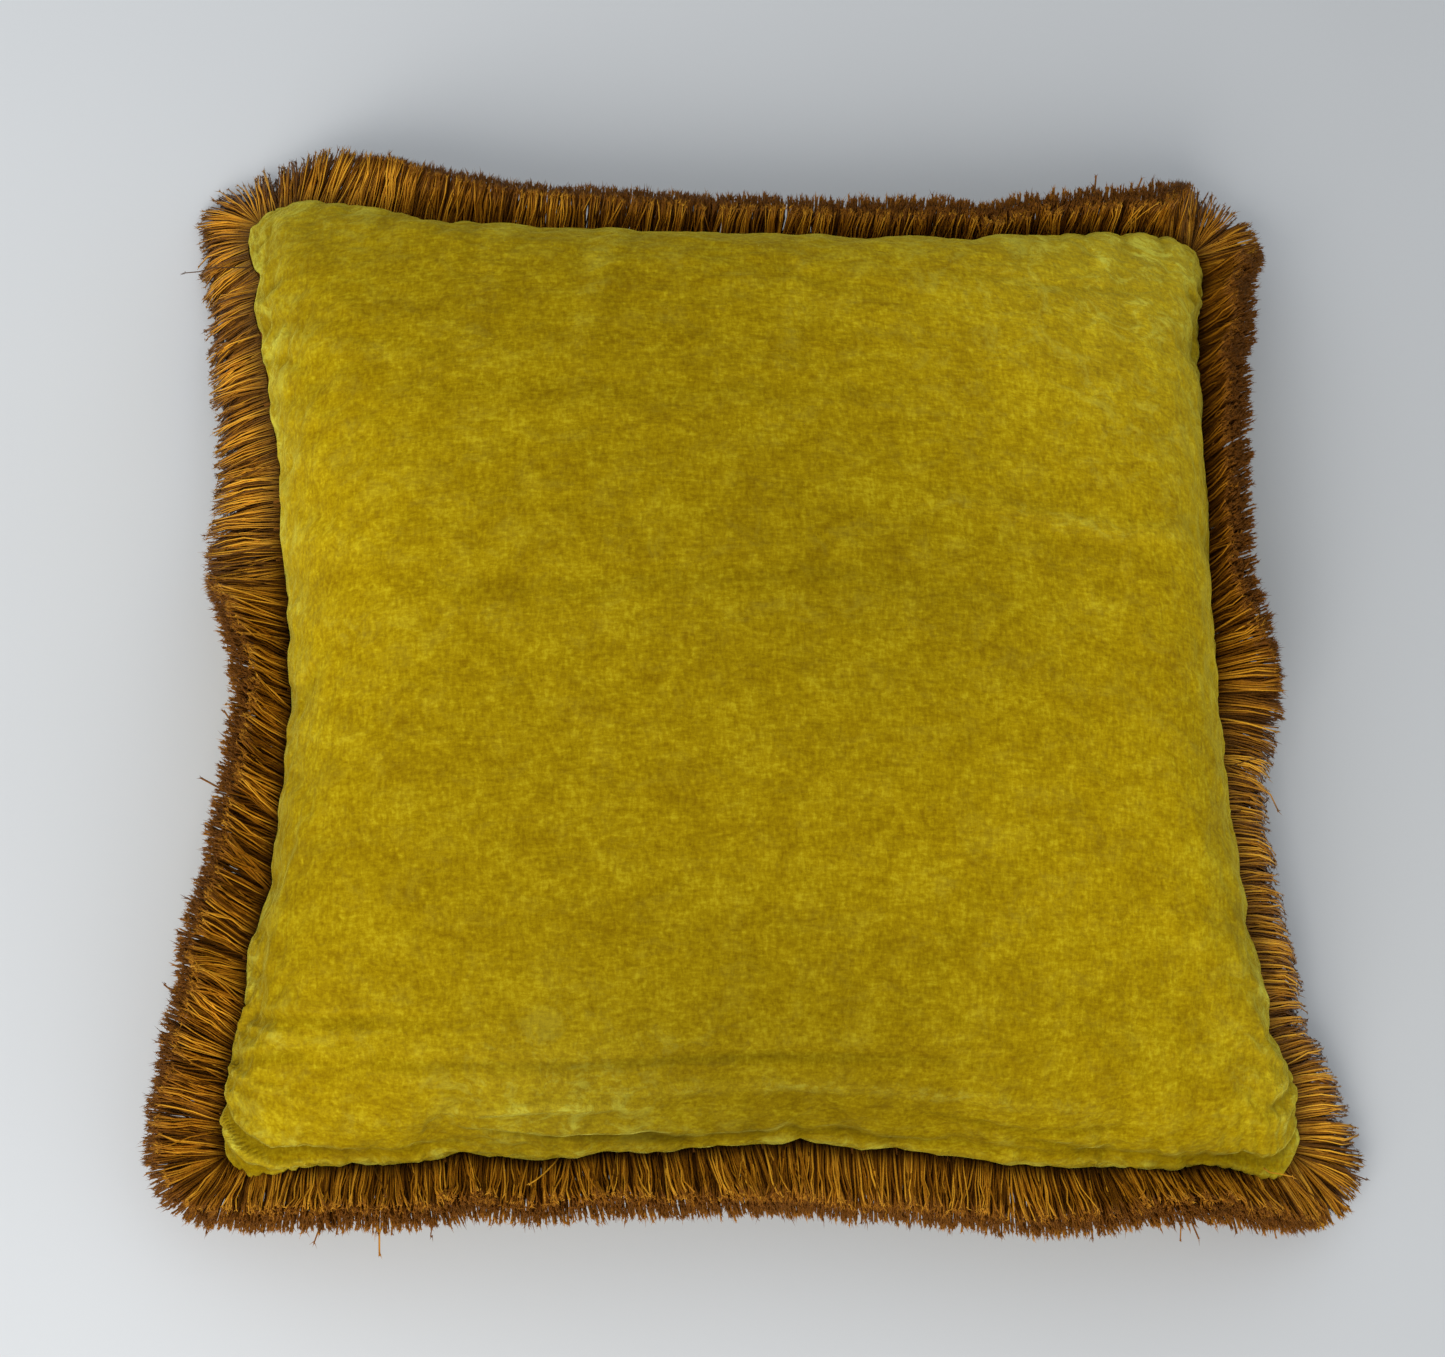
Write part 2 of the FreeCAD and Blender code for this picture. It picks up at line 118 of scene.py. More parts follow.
# How far each seam has settled off its even bow, in millimetres, at places along the side, -1 to 1.
SETTLED = {
    "right": ((-1, 0), (-0.85, -2), (-0.6, -10), (-0.3, -8), (0.1, -1), (0.35, -5), (0.7, -8), (1, -6)),
    "left": ((-1, 2), (-0.7, -1), (-0.45, 2), (-0.2, 5), (0.05, -1), (0.3, -4), (0.7, -3), (0.9, -1), (1, 4)),
    "near": ((-1, 6), (-0.8, 2), (-0.45, -4), (-0.1, 2), (0.1, 0), (0.4, -6), (0.7, -2), (0.9, 3), (1, 7)),
    "far": ((-1, -13), (-0.88, -10), (-0.7, -18), (-0.45, -21), (-0.1, -13), (0.2, -14), (0.6, -12), (1, -9)),
}


def settled(side, t):
    """How far a side's seam has settled at places along it, in metres, eased between the stops."""
    places, shifts = zip(*SETTLED[side])
    slot = np.clip(np.searchsorted(places, t, side="right") - 1, 0, len(places) - 2)
    places, shifts = np.array(places), np.array(shifts)
    share = smooth_step((t - places[slot]) / (places[slot + 1] - places[slot]))
    return (shifts[slot] * (1 - share) + shifts[slot + 1] * share) * MM


def seam_saddle(u, v):
    """The saddle that spans the seam, lowest at its corners."""
    x = pulled(u, v, MID_X)
    y = pulled(v, u, MID_Y)
    x += settled("right", v) * np.maximum(u, 0) ** 2 + settled("left", v) * np.minimum(u, 0) ** 2
    y += settled("far", u) * np.maximum(v, 0) ** 2 + settled("near", u) * np.minimum(v, 0) ** 2
    z = SEAM_CORNER_Z + (SEAM_MID_Z - SEAM_CORNER_Z) * (1 - (u * v) ** 4)
    return np.stack([x, y, z], -1)


def soft_floor(z, floor, blend=0.004):
    """z, eased so that it never goes below the floor."""
    over = (z - floor) / blend
    return floor + blend * np.where(over > 30, over, np.log1p(np.exp(np.minimum(over, 30))))


def smooth_side(a, b, side):
    """The smooth front (side 1) or back (side -1) of the cushion over cloth positions a and b."""
    u, v = plan(a), plan(b)
    points = seam_saddle(u, v)
    crown = TOP - SEAM_MID_Z if side > 0 else -UNDER_DEPTH
    points[..., 2] += crown * rise(a) * rise(b)
    for axis, t, other in ((0, a, b), (1, b, a)):
        away = (1 - np.abs(t)) * CLOTH_HALF / OVERHANG_REACH
        overhang = np.where(t < 0, *OVERHANGS[axis]) * (1.0 if side > 0 else BACK_OVERHANG)
        bulge = overhang * away * np.exp(1 - away) * np.minimum(1, (1 - other ** 2) * 4)
        points[..., axis] += np.sign(t) * bulge
    if side < 0:
        points[..., 2] = soft_floor(points[..., 2], 0.0)
    return points


def grid_normals(points):
    """Unit normals of a grid of points, up on a level grid."""
    normal = np.cross(np.gradient(points, axis=0), np.gradient(points, axis=1))
    return normal / np.maximum(np.linalg.norm(normal, axis=-1, keepdims=True), 1e-12)


# -- cloth simulation of the cover

SIM_CELLS = 100
SIM_FRAMES = 24
SIM_PRESSURE = 5.0
SIM_SEED = 4


def grid_quads(index):
    """The quads over a grid of vertex numbers."""
    corners = (index[:-1, :-1], index[1:, :-1], index[1:, 1:], index[:-1, 1:])
    return np.stack(corners, -1).reshape(-1, 4)


def add_object(name, data):
    """A new object in the scene."""
    piece = bpy.data.objects.new(name, data)
    bpy.context.scene.collection.objects.link(piece)
    return piece


def sewn_envelope():
    """Two flat squares sewn at their edges: the mesh points, the quads and each side's grid of numbers."""
    line = np.linspace(-CLOTH_HALF, CLOTH_HALF, SIM_CELLS + 1)
    x, y = np.meshgrid(line, line, indexing="ij")
    inner = np.zeros(x.shape, bool)
    inner[1:-1, 1:-1] = True
    random = np.random.default_rng(SIM_SEED)
    sides = [np.stack([x, y, inner * (sign * 0.002 + random.normal(0, 0.0004, x.shape))], -1)
             for sign in (1, -1)]
    front = np.arange(x.size).reshape(x.shape)
    back = front.copy()
    back[inner] = x.size + np.arange(inner.sum())
    points = np.concatenate([sides[0].reshape(-1, 3), sides[1][inner]])
    quads = np.concatenate([grid_quads(front), grid_quads(back)[:, ::-1]])
    return points, quads, front, back


def simulate_cover():
    """The front and back grids of the cover, blown up by pressure in a cloth simulation."""
    points, quads, front, back = sewn_envelope()
    mesh = bpy.data.meshes.new("cover_simulation")
    mesh.from_pydata(points.tolist(), [], quads.tolist())
    piece = add_object("cover_simulation", mesh)
    cloth = piece.modifiers.new("Cloth", "CLOTH")
    cloth.point_cache.frame_start = 1
    cloth.point_cache.frame_end = SIM_FRAMES + 1
    fabric = cloth.settings
    fabric.quality = 5
    fabric.mass = 0.3
    fabric.tension_stiffness = 15
    fabric.compression_stiffness = 15
    fabric.shear_stiffness = 5
    fabric.bending_stiffness = 0.5
    fabric.use_pressure = True
    fabric.uniform_pressure_force = SIM_PRESSURE
    fabric.effector_weights.gravity = 0
    cloth.collision_settings.use_collision = False
    for number in range(1, SIM_FRAMES + 1):
        bpy.context.scene.frame_set(number)
    shown = piece.evaluated_get(bpy.context.evaluated_depsgraph_get())
    moved = np.empty(len(points) * 3, np.float32)
    shown.data.vertices.foreach_get("co", moved)
    moved = moved.reshape(-1, 3).astype(float)
    bpy.data.objects.remove(piece)
    bpy.context.scene.frame_set(1)
    return moved[front], moved[back]


def diffuse(field, rounds, fixed_edge):
    """The field smoothed over the grid, with its edge held at fixed_edge."""
    field = field.copy()
    for _ in range(rounds):
        field[1:-1, 1:-1] = (field[:-2, 1:-1] + field[2:, 1:-1] + field[1:-1, :-2] + field[1:-1, 2:]) / 4
        field[[0, -1]] = fixed_edge[[0, -1]]
        field[:, [0, -1]] = fixed_edge[:, [0, -1]]
    return field


def rolled(values, rounds):
    """Values round a loop, smoothed along it."""
    for _ in range(rounds):
        values = (np.roll(values, 1, 0) + 2 * values + np.roll(values, -1, 0)) / 4
    return values


def edge_loop(field):
    """The grid's edge line, once round from its near left corner."""
    return np.concatenate([field[:-1, 0], field[-1, :-1], field[:0:-1, -1], field[0, :0:-1]])


def smooth_loop(field, rounds):
    """The grid with its edge line smoothed along itself."""
    loop = rolled(edge_loop(field), rounds)
    count = field.shape[0] - 1
    out = field.copy()
    out[:-1, 0] = loop[:count]
    out[-1, :-1] = loop[count:2 * count]
    out[:0:-1, -1] = loop[2 * count:3 * count]
    out[0, :0:-1] = loop[3 * count:]
    return out


def wrinkles(simulated, side):
    """What the simulated side has beyond a smooth cushion: its wrinkles, as an offset at each point."""
    line = np.linspace(-1, 1, SIM_CELLS + 1)
    a, b = np.meshgrid(line, line, indexing="ij")
    extra = simulated - smooth_side(a, b, side)
    return extra - diffuse(extra, 90, smooth_loop(extra, 60))


def refined(field):
    """A field of the simulation's grid, at the cloth positions of the shown mesh."""
    line = (STEPS + 1) / 2 * SIM_CELLS
    low = np.clip(line.astype(int), 0, SIM_CELLS - 1)
    share = (line - low)[:, None, None]
    across = field[low] * (1 - share) + field[low + 1] * share
    share = share.transpose(1, 0, 2)
    return across[:, low] * (1 - share) + across[:, low + 1] * share


# -- gathers, rolls and creases

# Gathers along each side of the front: pitch, height and reach into the panel, in metres, and slant.
# Finer puckers lie between them.
PUCKERS = (0.0062, 0.0007, 0.022, 0.3)
GATHERS = {"near": (0.012, 0.0019, 0.016, 0.2), "right": (0.017, 0.0022, 0.024, -0.25),
           "far": (0.024, 0.0044, 0.032, 0.15), "left": (0.017, 0.0028, 0.026, 0.3)}
# Creases, as lines over the front's cloth in millimetres from its middle, with width and height.
CREASES = (
    (((-248, -196), (-228, -212), (-200, -226), (-150, -231)), 3.4, -3.6),
    (((-248, -206), (-226, -222), (-198, -235), (-160, -240)), 3.2, 3.0),
    (((-246, -172), (-222, -176), (-170, -172)), 3.4, -1.5),
    (((-246, -222), (-232, -236), (-214, -247)), 3.4, -2.2),
    (((247, -208), (226, -222), (200, -232), (160, -236)), 3.4, -3.2),
    (((247, -218), (228, -233), (206, -242), (176, -246)), 3.2, 2.4),
    (((243, -178), (222, -196), (206, -210)), 3.6, 2.2),
    (((246, -168), (218, -190), (190, -204)), 3.6, -2.0),
    (((120, -243), (96, -228), (70, -222)), 3.2, -1.8),
    (((-20, -246), (-44, -230), (-80, -226)), 3.2, -1.8),
    (((-246, 206), (-228, 226), (-206, 246)), 5.0, -1.4),
    (((-238, 190), (-214, 212), (-196, 236)), 6.0, -0.9),
    (((246, 204), (226, 224), (210, 245)), 5.0, -1.6),
    (((236, 182), (206, 214), (190, 240)), 7.0, -0.9),
    (((-246, -28), (-222, -34), (-190, -24)), 5.0, -1.8),
    (((-246, 84), (-216, 76), (-176, 80)), 6.0, -1.0),
    (((246, 40), (214, 30), (160, 34)), 7.0, -0.9),
    (((246, -96), (218, -108), (182, -104)), 6.0, -0.9),
    (((-150, 78), (-60, 70), (60, 74)), 5.0, -0.5),
    (((-190, 4), (-90, -6), (20, 0), (110, -10)), 5.0, -0.6),
    (((40, 30), (130, 22), (196, 30)), 4.0, 0.7),
    (((60, 150), (110, 142), (170, 146)), 3.5, -0.9),
    (((-244, -150), (-200, -157), (-120, -160)), 3.0, -1.5),
    (((-170, -176), (-60, -184), (70, -180)), 3.2, -1.3),
    (((-120, -210), (-80, -204), (-40, -210)), 3.0, 1.6),
    (((-112, -221), (-70, -228), (-28, -231)), 2.8, -2.0),
    (((40, -212), (80, -218), (130, -214)), 3.0, -1.4),
    (((-246, 214), (-226, 204), (-196, 212)), 3.0, 1.3),
    (((-236, 236), (-214, 222), (-190, 226)), 2.6, -1.5),
    (((-246, 190), (-230, 184), (-208, 190)), 2.6, -1.5),
    (((-196, 246), (-184, 226), (-160, 220)), 2.8, -1.6),
    (((-150, 246), (-142, 228), (-120, 218)), 2.6, -1.5),
    (((-100, 246), (-88, 230), (-64, 224)), 2.8, -1.3),
    (((-246, 150), (-228, 142), (-198, 146)), 2.8, -1.5),
    (((-246, 118), (-230, 112), (-206, 118)), 2.6, 1.2),
    (((-246, 60), (-232, 52), (-214, 56)), 2.6, -1.4),
    (((-246, 10), (-230, 4), (-210, 10)), 2.4, -1.4),
    (((246, 150), (228, 158), (196, 152)), 3.0, -1.3),
    (((246, -40), (230, -48), (206, -44)), 2.8, -1.3),
    (((240, -130), (220, -142), (190, -136)), 3.2, 1.4),
    (((-90, -202), (10, -196), (130, -204)), 4.5, 0.9),
    (((-60, 200), (-10, 150), (60, 120)), 6.0, -0.5),
    (((120, -60), (60, -110), (30, -170)), 6.0, -0.5),
)
CREASE_SEAM = 240  # creases that start further left or right start at the seam
CREASE_FADE = 0.007  # all creases fade out this near a seam
CORNER_FADE = 0.05  # gathers and rolls fade out this near a corner
# The roll of cloth along the near seam and the groove beside it: how far in, width and height.
NEAR_ROLL = ((0.0075, 0.004, 0.0012), (0.0165, 0.004, -0.0014))


def gathers(along, away, style, seed):
    """Rounded humps with sharp notches between them, where the cloth is gathered into a seam."""
    pitch, height, reach, slant = style
    random = np.random.default_rng(seed)
    ends = np.cumsum(random.uniform(0.5, 1.5, int(4 * CLOTH_HALF / pitch)) * pitch) - 1.5 * CLOTH_HALF
    lift = random.uniform(0.35, 1.3, len(ends))
    far = random.uniform(0.6, 2.2, len(ends)) * reach
    at = along + slant * away + 0.0012 * np.sin(away * 400 + along * 90)
    hump = np.clip(np.searchsorted(ends, at), 1, len(ends) - 1)
    share = np.clip((at - ends[hump - 1]) / (ends[hump] - ends[hump - 1]), 0, 1)
    profile = np.sin(math.pi * share) ** 0.75 - 0.6
    fade = np.exp(-away / far[hump]) * (1 - np.exp(-away / 0.0022))
    return height * lift[hump] * profile * fade


def crease(x, y, line, width, height):
    """A soft ridge or valley along a line, fading at its ends, but not at one by a side seam."""
    best = np.full(x.shape, 1e9)
    share = np.zeros(x.shape)
    for number, (start, end) in enumerate(zip(line, line[1:])):
        run = np.subtract(end, start) * MM
        offset = (x - start[0] * MM, y - start[1] * MM)
        t = np.clip((offset[0] * run[0] + offset[1] * run[1]) / (run @ run), 0, 1)
        gap = np.hypot(offset[0] - t * run[0], offset[1] - t * run[1])
        closer = gap < best
        best = np.where(closer, gap, best)
        share = np.where(closer, (number + t) / (len(line) - 1), share)
    fade = np.minimum(1, 5 * (1 if abs(line[0][0]) > CREASE_SEAM else share) * (1 - share))
    near, wide = best / (width * MM), best / (2.6 * width * MM)
    return height * MM * fade * (np.exp(-near ** 2) - 0.3 * np.exp(-wide ** 2))


def folds(a, b):
    """Height of the front's gathers, roll and creases above the smooth cloth."""
    x, y = a * CLOTH_HALF, b * CLOTH_HALF
    ends = {"near": (x, CLOTH_HALF + y), "right": (y, CLOTH_HALF - x),
            "far": (x, CLOTH_HALF - y), "left": (y, CLOTH_HALF + x)}
    height = np.zeros(x.shape)
    for seed, (side, (along, away)) in enumerate(ends.items()):
        corner = smooth_step((CLOTH_HALF - np.abs(along)) / CORNER_FADE)
        height += gathers(along, away, GATHERS[side], seed + 20) * corner
        height += gathers(along, away, PUCKERS, seed + 40) * corner
    slow = 0.7 + 0.3 * np.sin(x * 61 + 0.8) * np.sin(x * 23)
    corner = smooth_step((CLOTH_HALF - np.abs(x)) / CORNER_FADE)
    for far, width, lift in NEAR_ROLL:
        height += lift * slow * corner * np.exp(-((y + CLOTH_HALF - far) / width) ** 2)
    away = CLOTH_HALF - np.maximum(np.abs(x), np.abs(y))
    for line, width, lift in CREASES:
        height += crease(x, y, line, width, lift) * (1 - np.exp(-(away / CREASE_FADE) ** 2))
    return height


# -- meshes


def unit(vectors):
    """Vectors scaled to a length of one."""
    return vectors / np.linalg.norm(vectors, axis=1)[:, None]


def circles(side, over, count, turned=0.0):
    """Unit circles of count points in the planes of side and over, begun a share of a step on."""
    turns = TURN * (np.arange(count) + turned) / count
    return np.cos(turns)[None, :, None] * side[:, None] + np.sin(turns)[None, :, None] * over[:, None]


def mesh_piece(name, points, faces, material, body="cover"):
    """A smooth mesh object from points and groups of faces of equal size, riding on a body."""
    sizes = np.concatenate([np.full(len(group), group.shape[1]) for group in faces])
    loops = np.concatenate([group.ravel() for group in faces])
    mesh = bpy.data.meshes.new(name)
    mesh.vertices.add(len(points))
    mesh.vertices.foreach_set("co", np.asarray(points, np.float32).ravel())
    mesh.loops.add(len(loops))
    mesh.loops.foreach_set("vertex_index", loops.astype(np.int32))
    mesh.polygons.add(len(sizes))
    mesh.polygons.foreach_set("loop_start", (np.cumsum(sizes) - sizes).astype(np.int32))
    mesh.polygons.foreach_set("loop_total", sizes.astype(np.int32))
    mesh.update(calc_edges=True)
    mesh.polygons.foreach_set("use_smooth", np.ones(len(sizes), bool))
    mesh.validate()
    mesh.materials.append(material)
    piece = add_object(name, mesh)
    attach(piece, body)
    return piece


def add_attribute(piece, label, values):
    """A number at each vertex, for the piece's material."""
    attribute = piece.data.attributes.new(label, "FLOAT", "POINT")
    attribute.data.foreach_set("value", np.ascontiguousarray(values, np.float32).ravel())


def shell(outer, inner, keep):
    """Points and quads of a closed sheet between two grids, over the cells to keep."""
    count = outer[..., 0].size
    index = np.arange(count).reshape(outer.shape[:2])
    quads = grid_quads(index)[keep.ravel()]
    starts, stops = quads, np.roll(quads, -1, 1)
    edges = np.stack([starts.ravel(), stops.ravel()], -1)
    codes = edges[:, 0] * count + edges[:, 1]
    rim = edges[~np.isin(codes, edges[:, 1] * count + edges[:, 0])]
    walls = np.stack([rim[:, 1], rim[:, 0], rim[:, 0] + count, rim[:, 1] + count], -1)
    faces = np.concatenate([quads, quads[:, ::-1] + count, walls])
    points = np.concatenate([outer.reshape(-1, 3), inner.reshape(-1, 3)])
    used, faces = np.unique(faces, return_inverse=True)
    return points[used], faces.reshape(-1, 4), used


# -- materials


class Finish:
    """A Principled material while its nodes are added."""

    def __init__(self, name, **values):
        self.material = bpy.data.materials.new(name)
        self.material.use_nodes = True
        self.tree = self.material.node_tree
        self.shader = self.tree.nodes["Principled BSDF"]
        for socket, value in values.items():
            self.shader.inputs[socket.replace("_", " ")].default_value = value

    def node(self, kind, inputs=(), **settings):
        """A node with its settings, whose inputs are values or other nodes' outputs."""
        made = self.tree.nodes.new("ShaderNode" + kind)
        for name, value in settings.items():
            setattr(made, name, value)
        for key, value in dict(inputs).items():
            if isinstance(value, bpy.types.NodeSocket):
                self.tree.links.new(value, made.inputs[key])
            else:
                made.inputs[key].default_value = value
        return made

    def place(self):
        """The surface's own place, which moves with it."""
        return self.node("TexCoord").outputs["Object"]

    def attribute(self, label):
        """A number that the mesh holds at each vertex."""
        return self.node("Attribute", attribute_name=label).outputs["Fac"]

    def noise(self, vector, scale, detail=2.0, roughness=0.5, stretch=(1, 1, 1), bend=0.0):
        """A noise value, finer as scale grows and longer along the ways that stretch is below 1."""
        mapping = self.node("Mapping", {"Vector": vector, "Scale": stretch})
        made = self.node("TexNoise", {"Vector": mapping.outputs[0], "Scale": scale, "Detail": detail,
                                      "Roughness": roughness, "Distortion": bend})
        return made.outputs["Fac"]

    def math(self, operation, *values):
        """The result of a maths node."""
        return self.node("Math", dict(enumerate(values)), operation=operation).outputs[0]

    def total(self, *parts):
        """The sum of values, each times its weight."""
        result = 0.0
        for value, weight in parts:
            result = self.math("ADD", result, self.math("MULTIPLY", value, weight))
        return result

    def ramp(self, value, stops):
        """A colour ramp over value. Stops are pairs of place and linear colour."""
        made = self.node("ValToRGB", {0: value})
        ramp = made.color_ramp
        while len(ramp.elements) < len(stops):
            ramp.elements.new(0.5)
        for element, (place, colour) in zip(ramp.elements, stops):
            element.position = place
            element.color = (*colour, 1)
        return made.outputs["Color"]

    def mix(self, share, first, second):
        """The first colour turning to the second as share grows."""
        return self.node("Mix", {0: share, 6: first, 7: second}, data_type="RGBA").outputs[2]

    def scaled(self, colour, share):
        """A colour made lighter or darker by a share."""
        return self.node("VectorMath", {0: colour, "Scale": share}, operation="SCALE").outputs[0]

    def spread(self, value, low, high, to_low, to_high):
        """value moved from one range to another, and kept in it."""
        made = self.node("MapRange", {"Value": value, "From Min": low, "From Max": high,
                                      "To Min": to_low, "To Max": to_high})
        return made.outputs[0]

    def feed(self, **sockets):
        """Outputs linked to the shader's sockets."""
        for name, output in sockets.items():
            self.tree.links.new(output, self.shader.inputs[name.replace("_", " ")])

    def bump(self, height, strength, distance):
        """Bump from a height, in metres times distance."""
        made = self.node("Bump", {"Height": height, "Strength": strength, "Distance": distance})
        self.feed(Normal=made.outputs[0])


def velvet_finish():
    """Crushed velvet: fine fibrous mottling along weft and warp, made paler by painted sheen and lighter or
    darker by painted light and shade.
    """
    made = Finish("velvet", Sheen_Weight=0.48, Sheen_Roughness=0.30, Sheen_Tint=(1.0, 0.92, 0.14, 1),
                  Specular_IOR_Level=0.03)
    place = made.place()
    weft = made.noise(place, 560, 4, 0.66, (0.36, 1, 1), 0.3)
    warp = made.noise(place, 560, 4, 0.66, (1, 0.36, 1), 0.3)
    patch = made.noise(place, 46, 8, 0.74, (0.85, 1, 1), 0.5)
    crush = made.noise(place, 74, 7, 0.78, (0.8, 1, 1), 0.7)
    value = made.spread(made.total((weft, 0.32), (warp, 0.32), (patch, 0.36)), 0.39, 0.61, 0.0, 1.0)
    colour = made.ramp(value, ((0.0, (0.205, 0.118, 0.0006)), (0.36, (0.270, 0.170, 0.0008)),
                               (0.64, (0.335, 0.222, 0.0012)), (1.0, (0.440, 0.325, 0.006))))
    # painted sheen: a pale olive mixed in along the seams, on the ridges and in bands and spots near the
    # edges
    painted_sheen = made.attribute("painted_sheen")
    crushed = made.spread(crush, 0.50, 0.62, 0.0, 1.0)
    sheen_patches = made.math("MULTIPLY", crushed, made.spread(painted_sheen, 0, 0.8, 0.06, 1.0))
    pale = made.math("MULTIPLY", made.math("ADD", sheen_patches, made.math("MULTIPLY", painted_sheen, 0.25)), 0.75)
    colour = made.mix(made.math("MINIMUM", pale, 0.9), colour, (0.50, 0.455, 0.048, 1))
    # painted light and shade: the colour made lighter or darker
    colour = made.scaled(colour, made.math("ADD", made.attribute("painted_light_and_shade"), 1.0))
    made.feed(Base_Color=colour, Roughness=made.spread(value, 0, 1, 0.95, 0.7))
    creased = made.noise(place, 95, 4, 0.6, (0.8, 1, 1), 0.8)
    crumple = made.math("MULTIPLY", creased, made.math("MINIMUM", painted_sheen, 0.7))
    made.bump(made.total((weft, 0.5), (warp, 0.5), (crush, 0.8), (crumple, 11.0)), 0.5, 0.0011)
    return made.material


def yarn_finish():
    """Cut rayon yarn: each yarn has its own tone, darkened by painted shade inside the brush, flecked, with
    painted shade at its root and darker at its cut end.
    """
    made = Finish("fringe_yarn", Sheen_Weight=0.04, Sheen_Roughness=0.4, Sheen_Tint=(1.0, 0.5, 0.1, 1),
                  Specular_IOR_Level=0.55, Specular_Tint=(1.0, 0.62, 0.22, 1))
    tone_and_shade = made.attribute("tone_and_shade")
    along = made.attribute("along")
    fleck = made.noise(made.place(), 1100, 3, 0.6)
    value = made.total((tone_and_shade, 0.88), (fleck, 0.38))
    side = made.ramp(value, ((0.14, (0.022, 0.006, 0.0004)), (0.36, (0.17, 0.056, 0.003)),
                             (0.58, (0.52, 0.205, 0.009)), (0.94, (1.0, 0.50, 0.034))))
    # painted shade: the yarn darkens towards its root by the seam
    root_shaded = made.mix(made.spread(along, 0.02, 0.42, 0.82, 0.0), side, (0.018, 0.004, 0.0004, 1))
    cut = made.mix(made.math("MULTIPLY", made.math("POWER", along, 9), 0.75), root_shaded, (0.16, 0.043, 0.003, 1))
    made.feed(Base_Color=cut, Roughness=made.spread(fleck, 0.25, 0.75, 0.34, 0.62))
    made.bump(fleck, 0.7, 0.0003)
    return made.material


def woven_finish(name, colour, shade, pitch):
    """A plain weave: warp and weft ribs pitch apart, between a colour and its shade."""
    made = Finish(name, Specular_IOR_Level=0.25)
    place = made.place()
    split = made.node("SeparateXYZ", {0: place})
    turn = TURN / pitch
    ribs = [made.math("SINE", made.math("MULTIPLY", split.outputs[axis], turn)) for axis in (0, 1)]
    weave = made.spread(made.math("MULTIPLY", *ribs), -1, 1, 0, 1)
    grain = made.noise(place, 400, 3, 0.6)
    value = made.total((weave, 0.5), (grain, 0.5))
    made.feed(Base_Color=made.ramp(value, ((0.2, shade), (0.8, colour))),
              Roughness=made.spread(grain, 0.2, 0.8, 0.7, 0.95))
    made.bump(value, 0.6, pitch / 3)
    return made.material


def moulded_finish(name, colour, shade, metallic, rough):
    """A hard finish, metal or nylon, with fine wear in its colour and gloss."""
    made = Finish(name, Metallic=metallic)
    place = made.place()
    wear = made.noise(place, 900, 4, 0.65)
    scratch = made.noise(place, 2500, 2, 0.6, (1, 0.15, 0.15))
    made.feed(Base_Color=made.ramp(wear, ((0.3, shade), (0.7, colour))),
              Roughness=made.spread(scratch, 0.3, 0.7, rough * 0.7, rough * 1.3))
    made.bump(scratch, 0.25, 0.0001)
    return made.material


VELVET = velvet_finish()
YARN = yarn_finish()
HEADER = woven_finish("header_weave", (0.30, 0.11, 0.006), (0.13, 0.04, 0.002), 0.0012)
TICKING = woven_finish("ticking", (0.80, 0.78, 0.72), (0.62, 0.60, 0.54), 0.0008)
TAPE = woven_finish("zip_tape", (0.33, 0.22, 0.01), (0.19, 0.12, 0.004), 0.0009)
THREAD = woven_finish("thread", (0.40, 0.28, 0.01), (0.24, 0.15, 0.004), 0.0004)
NYLON = moulded_finish("zip_nylon", (0.34, 0.24, 0.02), (0.25, 0.17, 0.01), 0.0, 0.4)
METAL = moulded_finish("zip_metal", (0.60, 0.52, 0.38), (0.40, 0.33, 0.22), 1.0, 0.32)
WADDING = woven_finish("filling", (0.86, 0.85, 0.82), (0.70, 0.69, 0.66), 0.004)

# -- the zip's frame

TAPE_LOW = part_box("zip_tape_lower")
TAPE_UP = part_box("zip_tape_upper")
ZIP_MIDDLE = np.array((TAPE_LOW[0] + TAPE_LOW[1] + TAPE_UP[0] + TAPE_UP[1]) / 4)
ZIP_HALF = TAPE_UP[1].x  # half the length of the mouth
ZIP_TILT = math.radians(43)  # the tapes lean out this far from upright, at their upper edge
ZIP_UP = np.array([0, -math.sin(ZIP_TILT), math.cos(ZIP_TILT)])
ZIP_OUT = np.array([0, -math.cos(ZIP_TILT), -math.sin(ZIP_TILT)])
PLACKET_OUT = 0.0029  # how far the cloth's outside stands from the middle of the tapes
PLACKET_HALF = 0.011  # half the height of the flat cloth round the zip
MOUTH_HALF = 0.0047  # half the height of the opening
PLACKET_PAST = 0.016  # how far past the mouth's ends the cloth is still drawn flat
PLACKET_EASE = (0.012, 0.006)  # over which it eases off, along and up
ROWS_PAST = 0.03  # how far past the mouth's ends its rows of points go on
ROWS_EASE = 0.02
ROWS_LOW = 0.035  # how far below the zip's middle the rows are moved


def zip_place(points):
    """Places along the zip, up from its middle line and out from its tapes."""
    from_middle = points - ZIP_MIDDLE
    return from_middle[..., 0], from_middle @ ZIP_UP, from_middle @ ZIP_OUT


